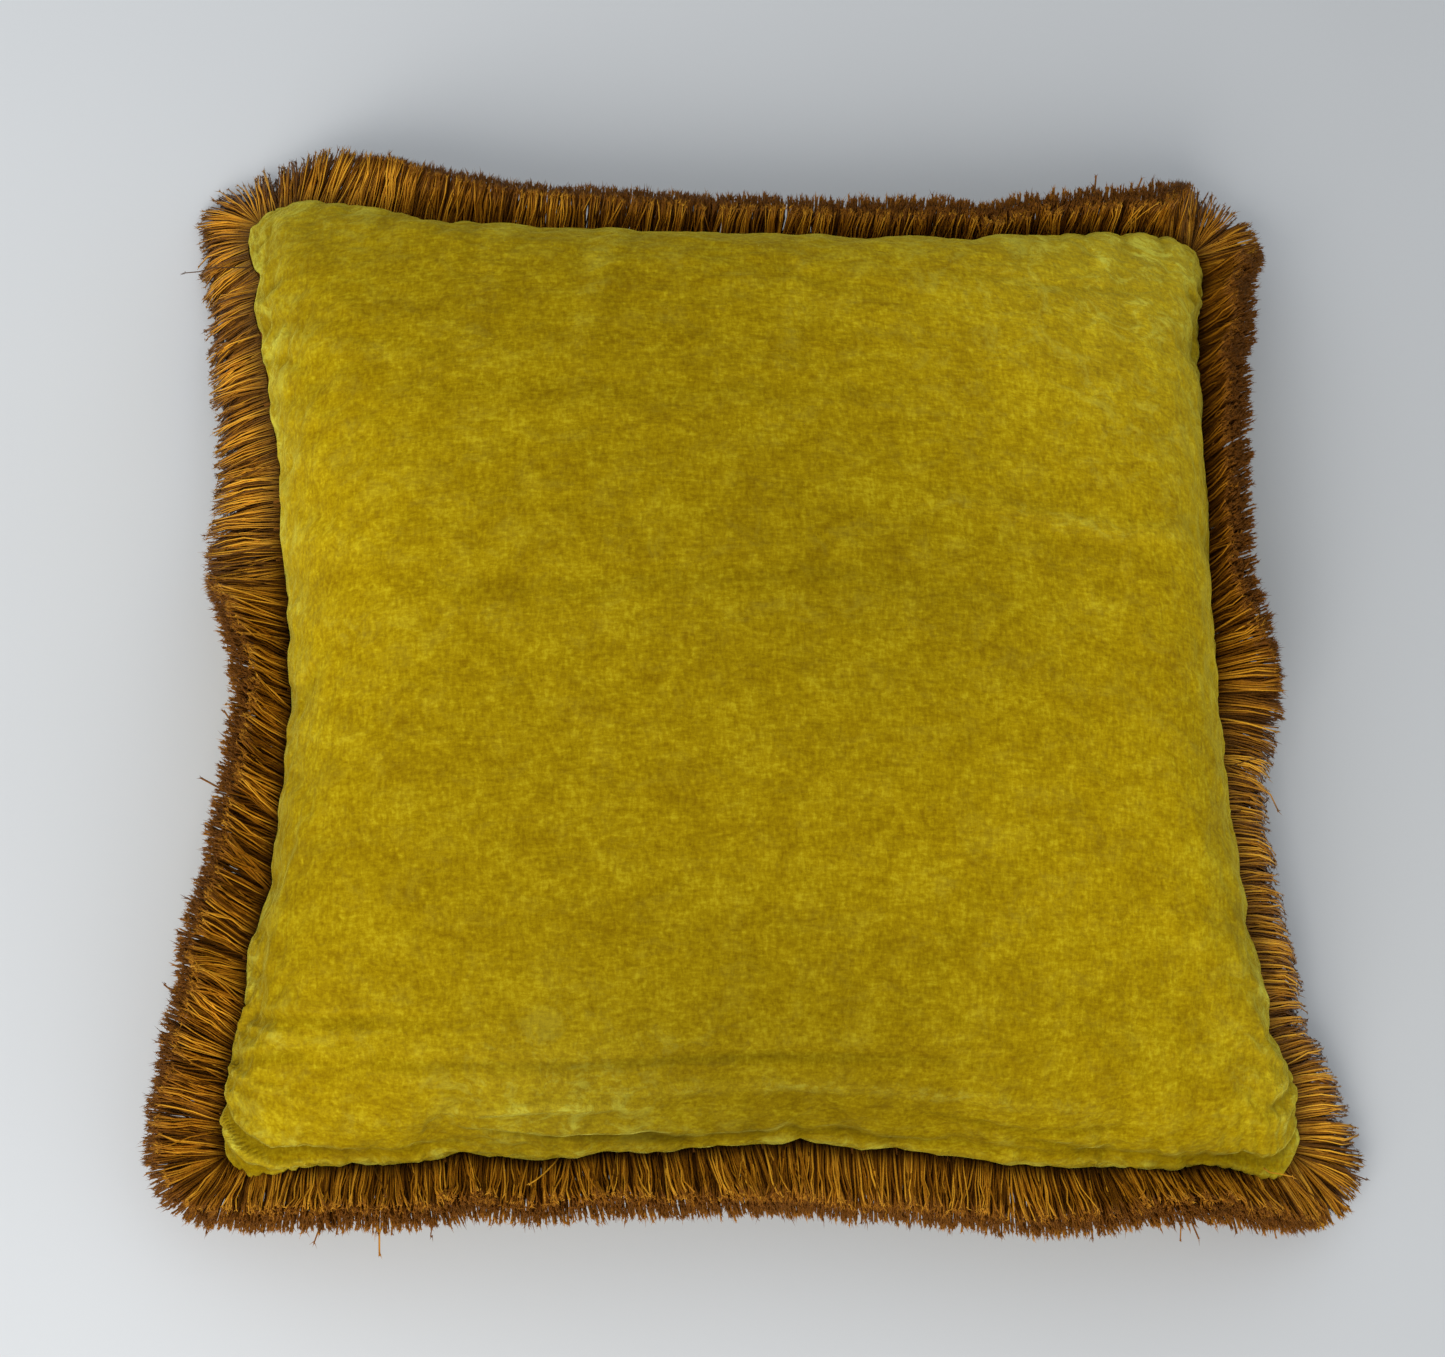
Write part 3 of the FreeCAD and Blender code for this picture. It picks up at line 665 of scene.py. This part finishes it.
def flat_placket(grid):
    """The back's grid laid flat round the zip, with a row of points on each edge of the mouth."""
    along, up, out = zip_place(grid)
    rows = np.arange(grid.shape[1])
    last = int(np.argmax(up[CELLS // 2] < -ROWS_LOW))
    share = smooth_step((ZIP_HALF + PLACKET_PAST - np.abs(along)) / PLACKET_EASE[0])
    share *= smooth_step((PLACKET_HALF + PLACKET_EASE[1] - np.abs(up)) / PLACKET_EASE[1])
    share *= rows[None] < last
    grid = grid + ((PLACKET_OUT - out) * share)[..., None] * ZIP_OUT
    up = zip_place(grid)[1]
    middle = up[CELLS // 2]
    top = int(np.argmin(np.abs(middle[:last] - MOUTH_HALF)))
    bottom = max(int(np.argmin(np.abs(middle[:last] + MOUTH_HALF))), top + 2)
    for i in np.flatnonzero(np.abs(along[:, top]) < ZIP_HALF + ROWS_PAST):
        line, heights = grid[i, :last + 1], up[i, :last + 1]
        stops = (heights[0], MOUTH_HALF, -MOUTH_HALF, heights[-1])
        wanted = np.interp(rows[:last + 1], (0, top, bottom, last), stops)
        part = float(smooth_step((ZIP_HALF + ROWS_PAST - abs(along[i, top])) / ROWS_EASE))
        wanted = part * wanted + (1 - part) * heights
        for axis in range(3):
            line[:, axis] = np.interp(-wanted, -heights, line[:, axis].copy())
    sides = [int(np.argmin(np.abs(grid[:, top, 0] - sign * ZIP_HALF))) for sign in (-1, 1)]
    for column, sign in zip(sides, (-1, 1)):
        grid[column, top - 2:bottom + 3, 0] = sign * ZIP_HALF
    keep = np.ones((CELLS, CELLS), bool)
    keep[sides[0]:sides[1], top:bottom] = False
    return grid, keep


# -- the cover

WRINKLE_SHARE = 0.9  # how much of the simulated wrinkles the cover keeps
CORNER_CALM = 0.07  # the simulated wrinkles fade out this near a corner


def cover():
    """The grids of the front and the back, wrinkled and creased, with the painted sheen and the painted light
    and shade over the cloth.
    """
    front, back = smooth_side(A, B, 1), smooth_side(A, B, -1)
    corner = np.hypot(1 - np.abs(A), 1 - np.abs(B)) * CLOTH_HALF
    calm = smooth_step(corner / CORNER_CALM - 0.25)[..., None] * WRINKLE_SHARE
    simulated_front, simulated_back = simulate_cover()
    front += refined(wrinkles(simulated_front, 1)) * calm
    back += refined(wrinkles(simulated_back, -1)) * calm
    height = folds(A, B)
    front += grid_normals(front) * height[..., None]
    back[..., 2] = soft_floor(back[..., 2], 0.0, 0.001)
    seam = np.zeros(A.shape, bool)
    seam[[0, -1]] = seam[:, [0, -1]] = True
    back[seam] = front[seam]
    front[..., 2] += SEAM_GAP
    back[..., 2] = np.maximum(back[..., 2] - SEAM_GAP * seam, 0)
    away = (1 - np.maximum(np.abs(A), np.abs(B))) * CLOTH_HALF
    # painted sheen: paler along the seams, on the ridges of the folds, and in bands and spots near the edges
    painted_sheen = np.exp(-(away / 0.005) ** 2) * 0.8 + np.clip(height / 0.0013, 0, 1) * 0.65 + painted_sheen_bands(A, B)
    # painted light and shade: lighter and darker spots, painted shade in the crease valleys and a painted
    # highlight on the ridges
    painted_light_and_shade = patches(A, B, PAINTED_LIGHT_AND_SHADE_SPOTS) - 0.38 * np.clip(-height / 0.0018, 0, 1)
    painted_light_and_shade += 0.14 * np.clip(height / 0.0015, 0, 1)
    return front, back, painted_sheen, painted_light_and_shade


def painted_sheen_bands(a, b):
    """Painted sheen: paler along three edges, and in patches near the seams."""
    far = np.exp(-((1 - b) * CLOTH_HALF / 0.04) ** 1.4) * 0.55
    left = np.exp(-((1 + a) * CLOTH_HALF / 0.022) ** 1.4) * 0.5
    right = np.exp(-((1 - a) * CLOTH_HALF / 0.03) ** 1.4) * 0.5
    return far + left + right + patches(a, b, PAINTED_SHEEN_SPOTS)


# Painted light and shade, lighter or darker: a place on the cloth, its spread and how much.
PAINTED_LIGHT_AND_SHADE_SPOTS = (
    (0.85, 0.75, 0.40, 0.30), (0.95, 0.05, 0.34, 0.44), (0.90, -0.75, 0.30, 0.16), (0.40, 0.40, 0.32, 0.28),
    (-0.95, 0.10, 0.38, 0.50), (-0.80, -0.75, 0.30, 0.10), (-0.45, 0.40, 0.35, -0.04),
    (-0.05, -0.85, 0.35, -0.34), (0.10, 0.0, 0.25, -0.13), (0.45, -0.35, 0.30, 0.18),
    (-0.4, -0.35, 0.25, -0.05),
)
# Painted sheen spots, in the same way.
PAINTED_SHEEN_SPOTS = (
    (0.72, 0.75, 0.42, 0.6), (0.92, -0.62, 0.16, 0.6), (-0.85, 0.85, 0.22, 0.4), (-0.3, -0.83, 0.14, 0.5),
)


def patches(a, b, spots):
    """The sum of soft round spots over cloth positions a and b."""
    return sum(amount * np.exp(-(np.hypot(a - x, b - y) / spread) ** 2) for x, y, spread, amount in spots)


FRONT, BACK, PAINTED_SHEEN, PAINTED_LIGHT_AND_SHADE = cover()


def panel(name, grid, keep, side):
    """One velvet panel of the cover, as a closed sheet of cloth."""
    normals = grid_normals(grid) * side
    outer, inner = grid, grid - normals * CLOTH_THICK
    if side < 0:
        inner[..., 2] = np.maximum(inner[..., 2], outer[..., 2] + CLOTH_THICK * 0.5)
    points, faces, used = shell(outer, inner, keep)
    if side < 0:
        faces = faces[:, ::-1]
    piece = mesh_piece(name + "_cloth", points, [faces], VELVET)
    # the painted sheen and the painted light and shade, carried to the velvet
    for label, values in (("painted_sheen", PAINTED_SHEEN), ("painted_light_and_shade", PAINTED_LIGHT_AND_SHADE)):
        add_attribute(piece, label, np.tile(values.ravel(), 2)[used])
    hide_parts(name)


CASE_SHARE = 0.94  # the insert's size, as a share of the cover's
LAYER_SHARE = 0.008  # each layer inside it is smaller by this share
ZIP_CLEAR = 0.011  # how far the insert lies back from the zip
CLEAR_REACH = 0.12  # it does so more and more from this far out to the near side
HEART = np.array([0, 0, 0.05])  # the place that the insert shrinks towards
CASE_STEP = 4  # the cover's cells along each cell of the insert


def shrunk(grid, share):
    """A coarser grid inside the cover's, drawn in towards the heart and away from the zip."""
    coarse = grid[::CASE_STEP, ::CASE_STEP]
    clear = smooth_step((-CLEAR_REACH - FRONT[::CASE_STEP, ::CASE_STEP, 1:2]) / CLEAR_REACH)
    return HEART + (coarse - HEART) * share + clear * np.array([0, ZIP_CLEAR, 0])


def inner_layers():
    """The insert inside the cover: its two cases, and the filling that they hold."""
    whole = np.ones((CELLS // CASE_STEP,) * 2, bool)
    for name, grid, side in (("insert_case_front", FRONT, 1), ("insert_case_back", BACK, -1)):
        outer, inner = shrunk(grid, CASE_SHARE), shrunk(grid, CASE_SHARE - LAYER_SHARE)
        points, faces, _ = shell(outer, inner, whole)
        piece = mesh_piece(name + "_cloth", points, [faces[:, ::side]], TICKING)
        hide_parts(name)
    front, back = (shrunk(grid, CASE_SHARE - 2 * LAYER_SHARE) for grid in (FRONT, BACK))
    points, faces, _ = shell(front, back, whole)
    piece = mesh_piece("insert_filling_wadding", points, [faces], WADDING)
    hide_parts("insert_filling")


BACK, ZIP_KEEP = flat_placket(BACK)
panel("front_panel", FRONT, np.ones((CELLS, CELLS), bool), 1)
panel("back_panel", BACK, ZIP_KEEP, -1)
inner_layers()

# -- fringe

FRINGE_SEED = 11
REACH = 0.034  # length of the yarns
YARN_RADIUS = 0.00042
YARN_RINGS = 5
YARN_SIDES = 3
ROOT_THICK = 0.003
TIP_THICK = 0.014
YARNS_PER_METRE = 8200
FRAYS = 4  # loose fibres at each cut end
FRAY_REACH = 0.0016
FRAY_RADIUS = 0.00025
FRAY_FLOOR = 0.0006  # how far off the floor the middles of their roots stay
DEPTHS = 4  # layers of tufts, one behind the other
LOOSENESS = (0.0, 0.25, 0.8, 1.0)  # how much each layer parts into tufts, lowest first
LOWEST_THICKER = 0.35  # how much thicker the lowest yarns are, as a share
TUFTS = (0.0022, 0.0062)  # the narrowest and the widest tuft
STRAYS = 0.004  # share of the yarns that stray
SHADED_PLACE = (1.72, 0.22, 0.6)  # where painted shade darkens the yarns turned from the light, how widely and how much
FLOOR_GAP = 0.0004  # how far off the floor the yarns and their fibres' tips stay
HEADER_IN, HEADER_OUT = 0.007, 0.0035  # the header tape's reach inside and outside the seam
# Elevation of the yarns, in degrees above level, at their root and at their cut end, at places along
# the seam. A place is the side's number, near, right, far and left from 0 to 3, plus the share of the
# side from its start.
LIFTS = (
    (0.0, 18, 28), (0.15, 28, 42), (0.38, 30, 42), (0.53, 16, 24), (0.65, 20, 28), (0.8, 38, 52),
    (0.93, 20, 28), (1.0, 0, -34), (1.1, -2, -68), (1.2, -10, -78), (1.3, -8, -78), (1.4, -6, -78),
    (1.45, 0, -74), (1.49, 50, 50), (1.55, 68, 78), (1.75, 58, 68), (1.9, 52, 60), (1.96, 28, 20),
    (2.0, 0, -22), (2.06, 46, 52), (2.14, 66, 74), (2.3, 66, 76), (2.46, 58, 64), (2.58, 50, 54),
    (2.68, 50, 52), (2.76, 42, 44), (2.84, 24, 18), (2.93, -8, -46), (3.0, -20, -50), (3.1, -38, -80),
    (3.2, -40, -80), (3.3, -36, -74), (3.4, -24, -60), (3.45, -10, -40), (3.48, 30, 30), (3.54, 50, 58),
    (3.62, 40, 46), (3.85, 36, 40), (3.94, 22, 20), (4.0, 18, 28),
)
# Places where the brush has parted, and how far its tips stand from each other there.
PARTINGS = ((0.653, 0.003), (1.314, 0.004), (2.0, 0.005), (2.31, 0.0025), (2.915, 0.003), (3.398, 0.004))


class Brush:
    """The seam that the fringe hangs from, the ways out from it, and the yarns' lifts."""

    def __init__(self):
        self.seam = edge_loop(FRONT - np.array([0, 0, SEAM_GAP]))
        self.places = np.concatenate([number + (STEPS[:-1] + 1) / 2 for number in range(4)])
        self.root = rolled(self.seam, 6)
        run = np.roll(self.root, -1, 0) - np.roll(self.root, 1, 0)
        run[:, 2] = 0
        run = unit(rolled(unit(run), 24))
        self.out = np.stack([run[:, 1], -run[:, 0], np.zeros(len(run))], -1)
        stops, lift, end_lift = zip(*LIFTS)
        self.lift = np.radians(rolled(np.interp(self.places, stops, lift), 30))
        self.end_lift = np.radians(rolled(np.interp(self.places, stops, end_lift), 30))


BRUSH = Brush()


def tufts(at, total, random):
    """Each yarn's tuft number, and how far it stands from the middle of its tuft."""
    lengths = random.uniform(*TUFTS, int(2.2 * total / sum(TUFTS)) + 2)
    ends = np.cumsum(lengths)
    number = np.minimum(np.searchsorted(ends, at), len(ends) - 1)
    return number, ends[number] - lengths[number] / 2 - at


def fringe():
    """The brush of yarns, one piece for each side."""
    seam, out, root = BRUSH.seam, BRUSH.out, BRUSH.root
    step = np.linalg.norm(np.roll(seam, -1, 0) - seam, axis=1)
    turn = np.linalg.norm(np.roll(out, -1, 0) - out, axis=1)
    weight = step + 0.6 * REACH * turn
    total = np.concatenate([[0], np.cumsum(weight)])
    random = np.random.default_rng(FRINGE_SEED)
    count = int(total[-1] * YARNS_PER_METRE)
    at = np.sort((np.arange(count) + random.uniform(-0.5, 0.5, count)) / count % 1.0) * total[-1]
    slot = np.clip(np.searchsorted(total, at, side="right") - 1, 0, len(seam) - 1)
    share = (at - total[slot]) / weight[slot]
    after = (slot + 1) % len(seam)

    def between(values):
        part = share if values.ndim == 1 else share[:, None]
        return values[slot] * (1 - part) + values[after] * part

    start = between(root)
    out = unit(between(out))
    tangent = np.stack([-out[:, 1], out[:, 0], np.zeros(count)], -1)
    first, last = between(BRUSH.lift), between(BRUSH.end_lift)
    ends = np.append(BRUSH.places[1:], 4.0)
    place = BRUSH.places[slot] * (1 - share) + ends[slot] * share
    depth = random.integers(0, DEPTHS, count)
    layer = (depth + random.uniform(0, 1, count)) / DEPTHS * 2 - 1
    across, lean, wave, phase, tone_and_shade, longer = (np.zeros(count) for _ in range(6))
    for number in range(DEPTHS):
        mine = depth == number
        tuft, gap = tufts(at[mine], total[-1], random)
        across[mine] = gap * random.uniform(0.05, 0.42, tuft.max() + 1)[tuft] * LOOSENESS[number]
        lean[mine] = random.normal(-0.03, 0.07, tuft.max() + 1)[tuft] * LOOSENESS[number]
        wave[mine] = random.normal(0, 0.0007, tuft.max() + 1)[tuft]
        phase[mine] = random.uniform(0, TURN, tuft.max() + 1)[tuft]
        tone_and_shade[mine] = random.uniform(0, 1, tuft.max() + 1)[tuft]
        longer[mine] = random.normal(0, 0.014, tuft.max() + 1)[tuft]
    for where, gap in PARTINGS:
        beside = (place - where + 2) % 4 - 2
        across += np.sign(beside) * gap / 2 * np.exp(-np.abs(beside) / 0.02)
    stray = random.uniform(0, 1, count) < STRAYS
    length = REACH * (1 + longer + random.normal(0, 0.014, count) + 0.08 * stray)
    lean = lean + random.normal(0, 0.05, count) + stray * random.normal(0, 0.22, count)
    tilt = random.normal(0, 0.03, count) + stray * random.normal(0, 0.2, count)
    curl = random.normal(0, 0.00055, (count, 2))
    own_phase = random.uniform(0, TURN, (count, 2))
    pace = random.uniform(0.8, 2.2, count)
    tone_and_shade = np.clip(0.3 * tone_and_shade + 0.7 * random.uniform(0, 1, count), 0, 1)
    # painted shade: the yarns inside the brush and the lower ones are darker
    tone_and_shade *= 0.12 + np.where(layer > 0, 1.0, 0.5) * np.abs(layer) ** 1.3
    # painted shade: the yarns standing up on the right side are turned from the light
    tone_and_shade *= 1 - SHADED_PLACE[2] * np.exp(-((place - SHADED_PLACE[0]) / SHADED_PLACE[1]) ** 2)
    rings = []
    spine = np.zeros((count, 3))
    for t in np.linspace(0, 1, YARN_RINGS):
        if t > 0:
            bend = (first + (last - first) * (t - 0.5 / (YARN_RINGS - 1)) + tilt)[:, None]
            spine = spine + (np.cos(bend) * out + np.sin(bend) * UP) * (length / (YARN_RINGS - 1))[:, None]
        angle = (first + (last - first) * t)[:, None]
        thick = -np.sin(angle) * out + np.cos(angle) * UP
        half = (ROOT_THICK + (TIP_THICK - ROOT_THICK) * t ** 1.3) / 2
        aside = across * t + lean * length * t + wave * np.sin(phase + TURN * 1.1 * t) * t
        aside += curl[:, 0] * np.sin(own_phase[:, 0] + TURN * pace * t) * t
        sway = curl[:, 1] * np.sin(own_phase[:, 1] + TURN * pace * t) * t
        rings.append(start + spine + thick * (layer * half + sway)[:, None] + tangent * aside[:, None])
    centres = np.stack(rings, 1)
    radius = YARN_RADIUS * random.uniform(0.75, 1.25, count) * (1 + LOWEST_THICKER * (depth == 0))
    flare = 1 - 0.12 * np.linspace(0, 1, YARN_RINGS) ** 4
    ring = circles(tangent, thick, YARN_SIDES, 0.5)
    points = centres[:, :, None] + ring[:, None] * (radius[:, None] * flare)[..., None, None]
    points[..., 2] = np.maximum(points[..., 2], FLOOR_GAP)
    for number, name in enumerate(("near", "right", "far", "left")):
        mine = (place >= number) & (place < number + 1)
        yarn_piece("fringe_" + name, points[mine], tone_and_shade[mine], random)


def frays(centres, random):
    """Loose fibres at the yarns' cut ends: their points, three round each root and one at its tip."""
    tip, before = centres[:, -1], centres[:, -2]
    way = unit(tip - before)
    spread = way[:, None] + random.normal(0, 0.55, (len(tip), FRAYS, 3))
    ends = tip[:, None] + spread * FRAY_REACH * random.uniform(0.4, 1.2, (len(tip), FRAYS, 1))
    ends[..., 2] = np.maximum(ends[..., 2], FLOOR_GAP)
    side = unit(np.cross(way, np.array([0.3, 0.2, 1.0])))
    ring = circles(side, np.cross(way, side), 3)
    base = tip[:, None] - way[:, None] * 0.0005 + random.normal(0, YARN_RADIUS * 0.8, (len(tip), FRAYS, 3))
    base[..., 2] = np.maximum(base[..., 2], FRAY_FLOOR)
    rings = base[:, :, None] + ring[:, None] * FRAY_RADIUS
    return np.concatenate([rings, ends[:, :, None]], 2)


def yarn_piece(name, points, tone_and_shade, random):
    """One side's yarns, as tubes with a frayed end, for the CAD node of that name."""
    index = np.arange(points[..., 0].size).reshape(points.shape[:3])
    following = np.roll(index, -1, 2)
    sides = np.stack([index[:, :-1], following[:, :-1], following[:, 1:], index[:, 1:]], -1)
    fibres = frays(points.mean(2), random)
    hair = index.size + np.arange(fibres[..., 0].size).reshape(-1, 4)
    caps = np.concatenate([index[:, -1], index[:, 0, ::-1]])
    thin = np.concatenate([caps, hair[:, [0, 1, 3]], hair[:, [1, 2, 3]], hair[:, [2, 0, 3]]])
    every = np.concatenate([points.reshape(-1, 3), fibres.reshape(-1, 3)])
    piece = mesh_piece(name + "_yarns", every, [sides.reshape(-1, 4), thin], YARN)
    along = np.broadcast_to(np.linspace(0, 1, YARN_RINGS)[None, :, None], index.shape)
    tones_and_shade = np.broadcast_to(tone_and_shade[:, None, None], index.shape)
    add_attribute(piece, "tone_and_shade", np.append(tones_and_shade, np.repeat(tone_and_shade, FRAYS * 4)))
    add_attribute(piece, "along", np.append(along, np.full(hair.size, 0.93)))
    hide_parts(name)


def header_tape():
    """The woven tape that the yarns hang from, caught in the seam between the panels."""
    root, out, lift = BRUSH.root, BRUSH.out, BRUSH.lift[:, None]
    inside = root - out * HEADER_IN
    outside = root + (np.cos(lift) * out + np.sin(lift) * UP) * HEADER_OUT
    thick = (-np.sin(lift) * out + np.cos(lift) * UP) * HEADER_HALF
    over = UP * HEADER_HALF
    lines = (inside + over, root + over, outside + thick, outside - thick, root - over, inside - over)
    rings = np.stack(lines, 1)
    index = np.arange(rings[..., 0].size).reshape(rings.shape[:2])
    ahead, beside = np.roll(index, -1, 0), np.roll(index, -1, 1)
    quads = np.stack([index, beside, np.roll(ahead, -1, 1), ahead], -1).reshape(-1, 4)
    piece = mesh_piece("fringe_header_tape", rings.reshape(-1, 3), [quads], HEADER)
    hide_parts("fringe_header")


fringe()
header_tape()

# -- zip coils

COIL_PITCH = 0.0014
COIL_WIRE = 0.00027  # radius of the coil's nylon wire
COIL_STEPS = 10  # points in each turn
COIL_SIDES = 6
COIL_MIDDLE = (0.00138, 0.00115)  # each coil's middle, up or down and out from the zip's
COIL_HALF = (0.00122, 0.0008)  # half of a coil's size, up and out


def zip_coil(name, sign):
    """Half of the zip's coil: one nylon wire wound along the tape's edge."""
    low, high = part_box(name)
    length = high.x - low.x - 2 * COIL_WIRE
    turns = int(length / COIL_PITCH)
    t = np.arange(turns * COIL_STEPS + 1) / COIL_STEPS
    middle_up, middle_out = sign * COIL_MIDDLE[0], COIL_MIDDLE[1]
    half_up, half_out = (half - COIL_WIRE for half in COIL_HALF)
    along = -length / 2 + length * t / turns + sign * COIL_PITCH / 4
    round_up, round_out = (np.sign(wave) * np.abs(wave) ** 0.7
                           for wave in (np.cos(TURN * t), np.sin(TURN * t)))
    line = (ZIP_MIDDLE + along[:, None] * RIGHT
            + (middle_up + half_up * round_up)[:, None] * ZIP_UP
            + (middle_out + half_out * round_out)[:, None] * ZIP_OUT)
    run = unit(np.gradient(line, axis=0))
    side = unit(np.cross(run, RIGHT))
    points = line[:, None] + circles(side, np.cross(run, side), COIL_SIDES) * COIL_WIRE
    index = np.arange(points[..., 0].size).reshape(points.shape[:2])
    following = np.roll(index, -1, 1)
    quads = np.stack([index[:-1], index[1:], following[1:], following[:-1]], -1).reshape(-1, 4)
    first, last = index[0], index[-1]
    ends = np.array([first[[0, 1, 2, 3]], first[[0, 3, 4, 5]], last[[3, 2, 1, 0]], last[[5, 4, 3, 0]]])
    piece = mesh_piece(name + "_wire", points.reshape(-1, 3), [quads, ends], NYLON)
    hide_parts(name)


zip_coil("zip_coil_upper", 1)
zip_coil("zip_coil_lower", -1)

# -- carried-over pieces

FINISHES = {
    "zip_tape_upper": TAPE, "zip_tape_lower": TAPE, "zip_top_stops": METAL, "zip_bottom_stop": METAL,
    "zip_stitching": THREAD, "zip_slider": METAL, "zip_pull_tab": METAL,
}
for node_name, finish in FINISHES.items():
    node_mesh = NODES[node_name].data
    node_mesh.materials.clear()
    node_mesh.materials.append(finish)

# -- floor, light and camera


def floor():
    """A pale floor, with painted shade growing to the right and the far side, where the light falls off."""
    made = Finish("floor", Specular_IOR_Level=0.2)
    place = made.place()
    haze = made.noise(place, 2.2, 3, 0.5)
    grain = made.noise(place, 160, 3, 0.6)
    pale = made.ramp(haze, ((0.3, (0.640, 0.648, 0.658)), (0.7, (0.655, 0.664, 0.675))))
    split = made.node("SeparateXYZ", {0: place})
    # painted shade: the floor darker to the right and the far side
    painted_falloff = made.spread(made.total((split.outputs[0], 1.0), (split.outputs[1], 0.25)), -0.3, 0.45, 1.0, 0.80)
    made.feed(Base_Color=made.scaled(pale, painted_falloff), Roughness=made.spread(grain, 0.2, 0.8, 0.75, 0.9))
    made.bump(grain, 0.1, 0.0004)
    reach = 6.0
    points = [(-reach, -reach, 0), (reach, -reach, 0), (reach, reach, 0), (-reach, reach, 0)]
    mesh = bpy.data.meshes.new("floor")
    mesh.from_pydata(points, [], [(0, 1, 2, 3)])
    mesh.materials.append(made.material)
    piece = add_object("floor", mesh)


KEY_PLACE = Vector((-1.0, -1.9, 1.75))
KEY_TARGET = Vector((0, 0, 0.05))


def lighting():
    """A large soft key from the near side, a little to the left, and an even sky."""
    light = bpy.data.lights.new("key", "AREA")
    light.size = 1.6
    light.energy = 54
    light.color = (1.0, 0.98, 0.94)
    lamp = add_object("key", light)
    lamp.location = KEY_PLACE
    lamp.rotation_euler = (KEY_TARGET - KEY_PLACE).to_track_quat("-Z", "Y").to_euler()
    sky = bpy.data.worlds.new("sky")
    sky.use_nodes = True
    background = sky.node_tree.nodes["Background"]
    background.inputs["Color"].default_value = (0.90, 0.95, 1.0, 1)
    background.inputs["Strength"].default_value = 0.70
    bpy.context.scene.world = sky
    bpy.context.scene.view_settings.view_transform = "Standard"


CAMERA_PLACE = Vector((-0.2068, -0.5295, 1.3464))
CAMERA_YAW, CAMERA_PITCH, CAMERA_ROLL = (math.radians(a) for a in (-20.19, 22.84, 19.97))
CAMERA_LENS = 74.74  # millimetres, on a sensor 36 mm wide


def camera():
    """The camera looks down on the cushion from its near left."""
    lens = bpy.data.cameras.new("camera")
    lens.lens = CAMERA_LENS
    lens.sensor_width = 36
    turn = (Matrix.Rotation(CAMERA_YAW, 4, "Z") @ Matrix.Rotation(CAMERA_PITCH, 4, "X")
            @ Matrix.Rotation(CAMERA_ROLL, 4, "Z"))
    view = add_object("camera", lens)
    view.matrix_world = Matrix.Translation(CAMERA_PLACE) @ turn
    bpy.context.scene.camera = view


floor()
lighting()
camera()
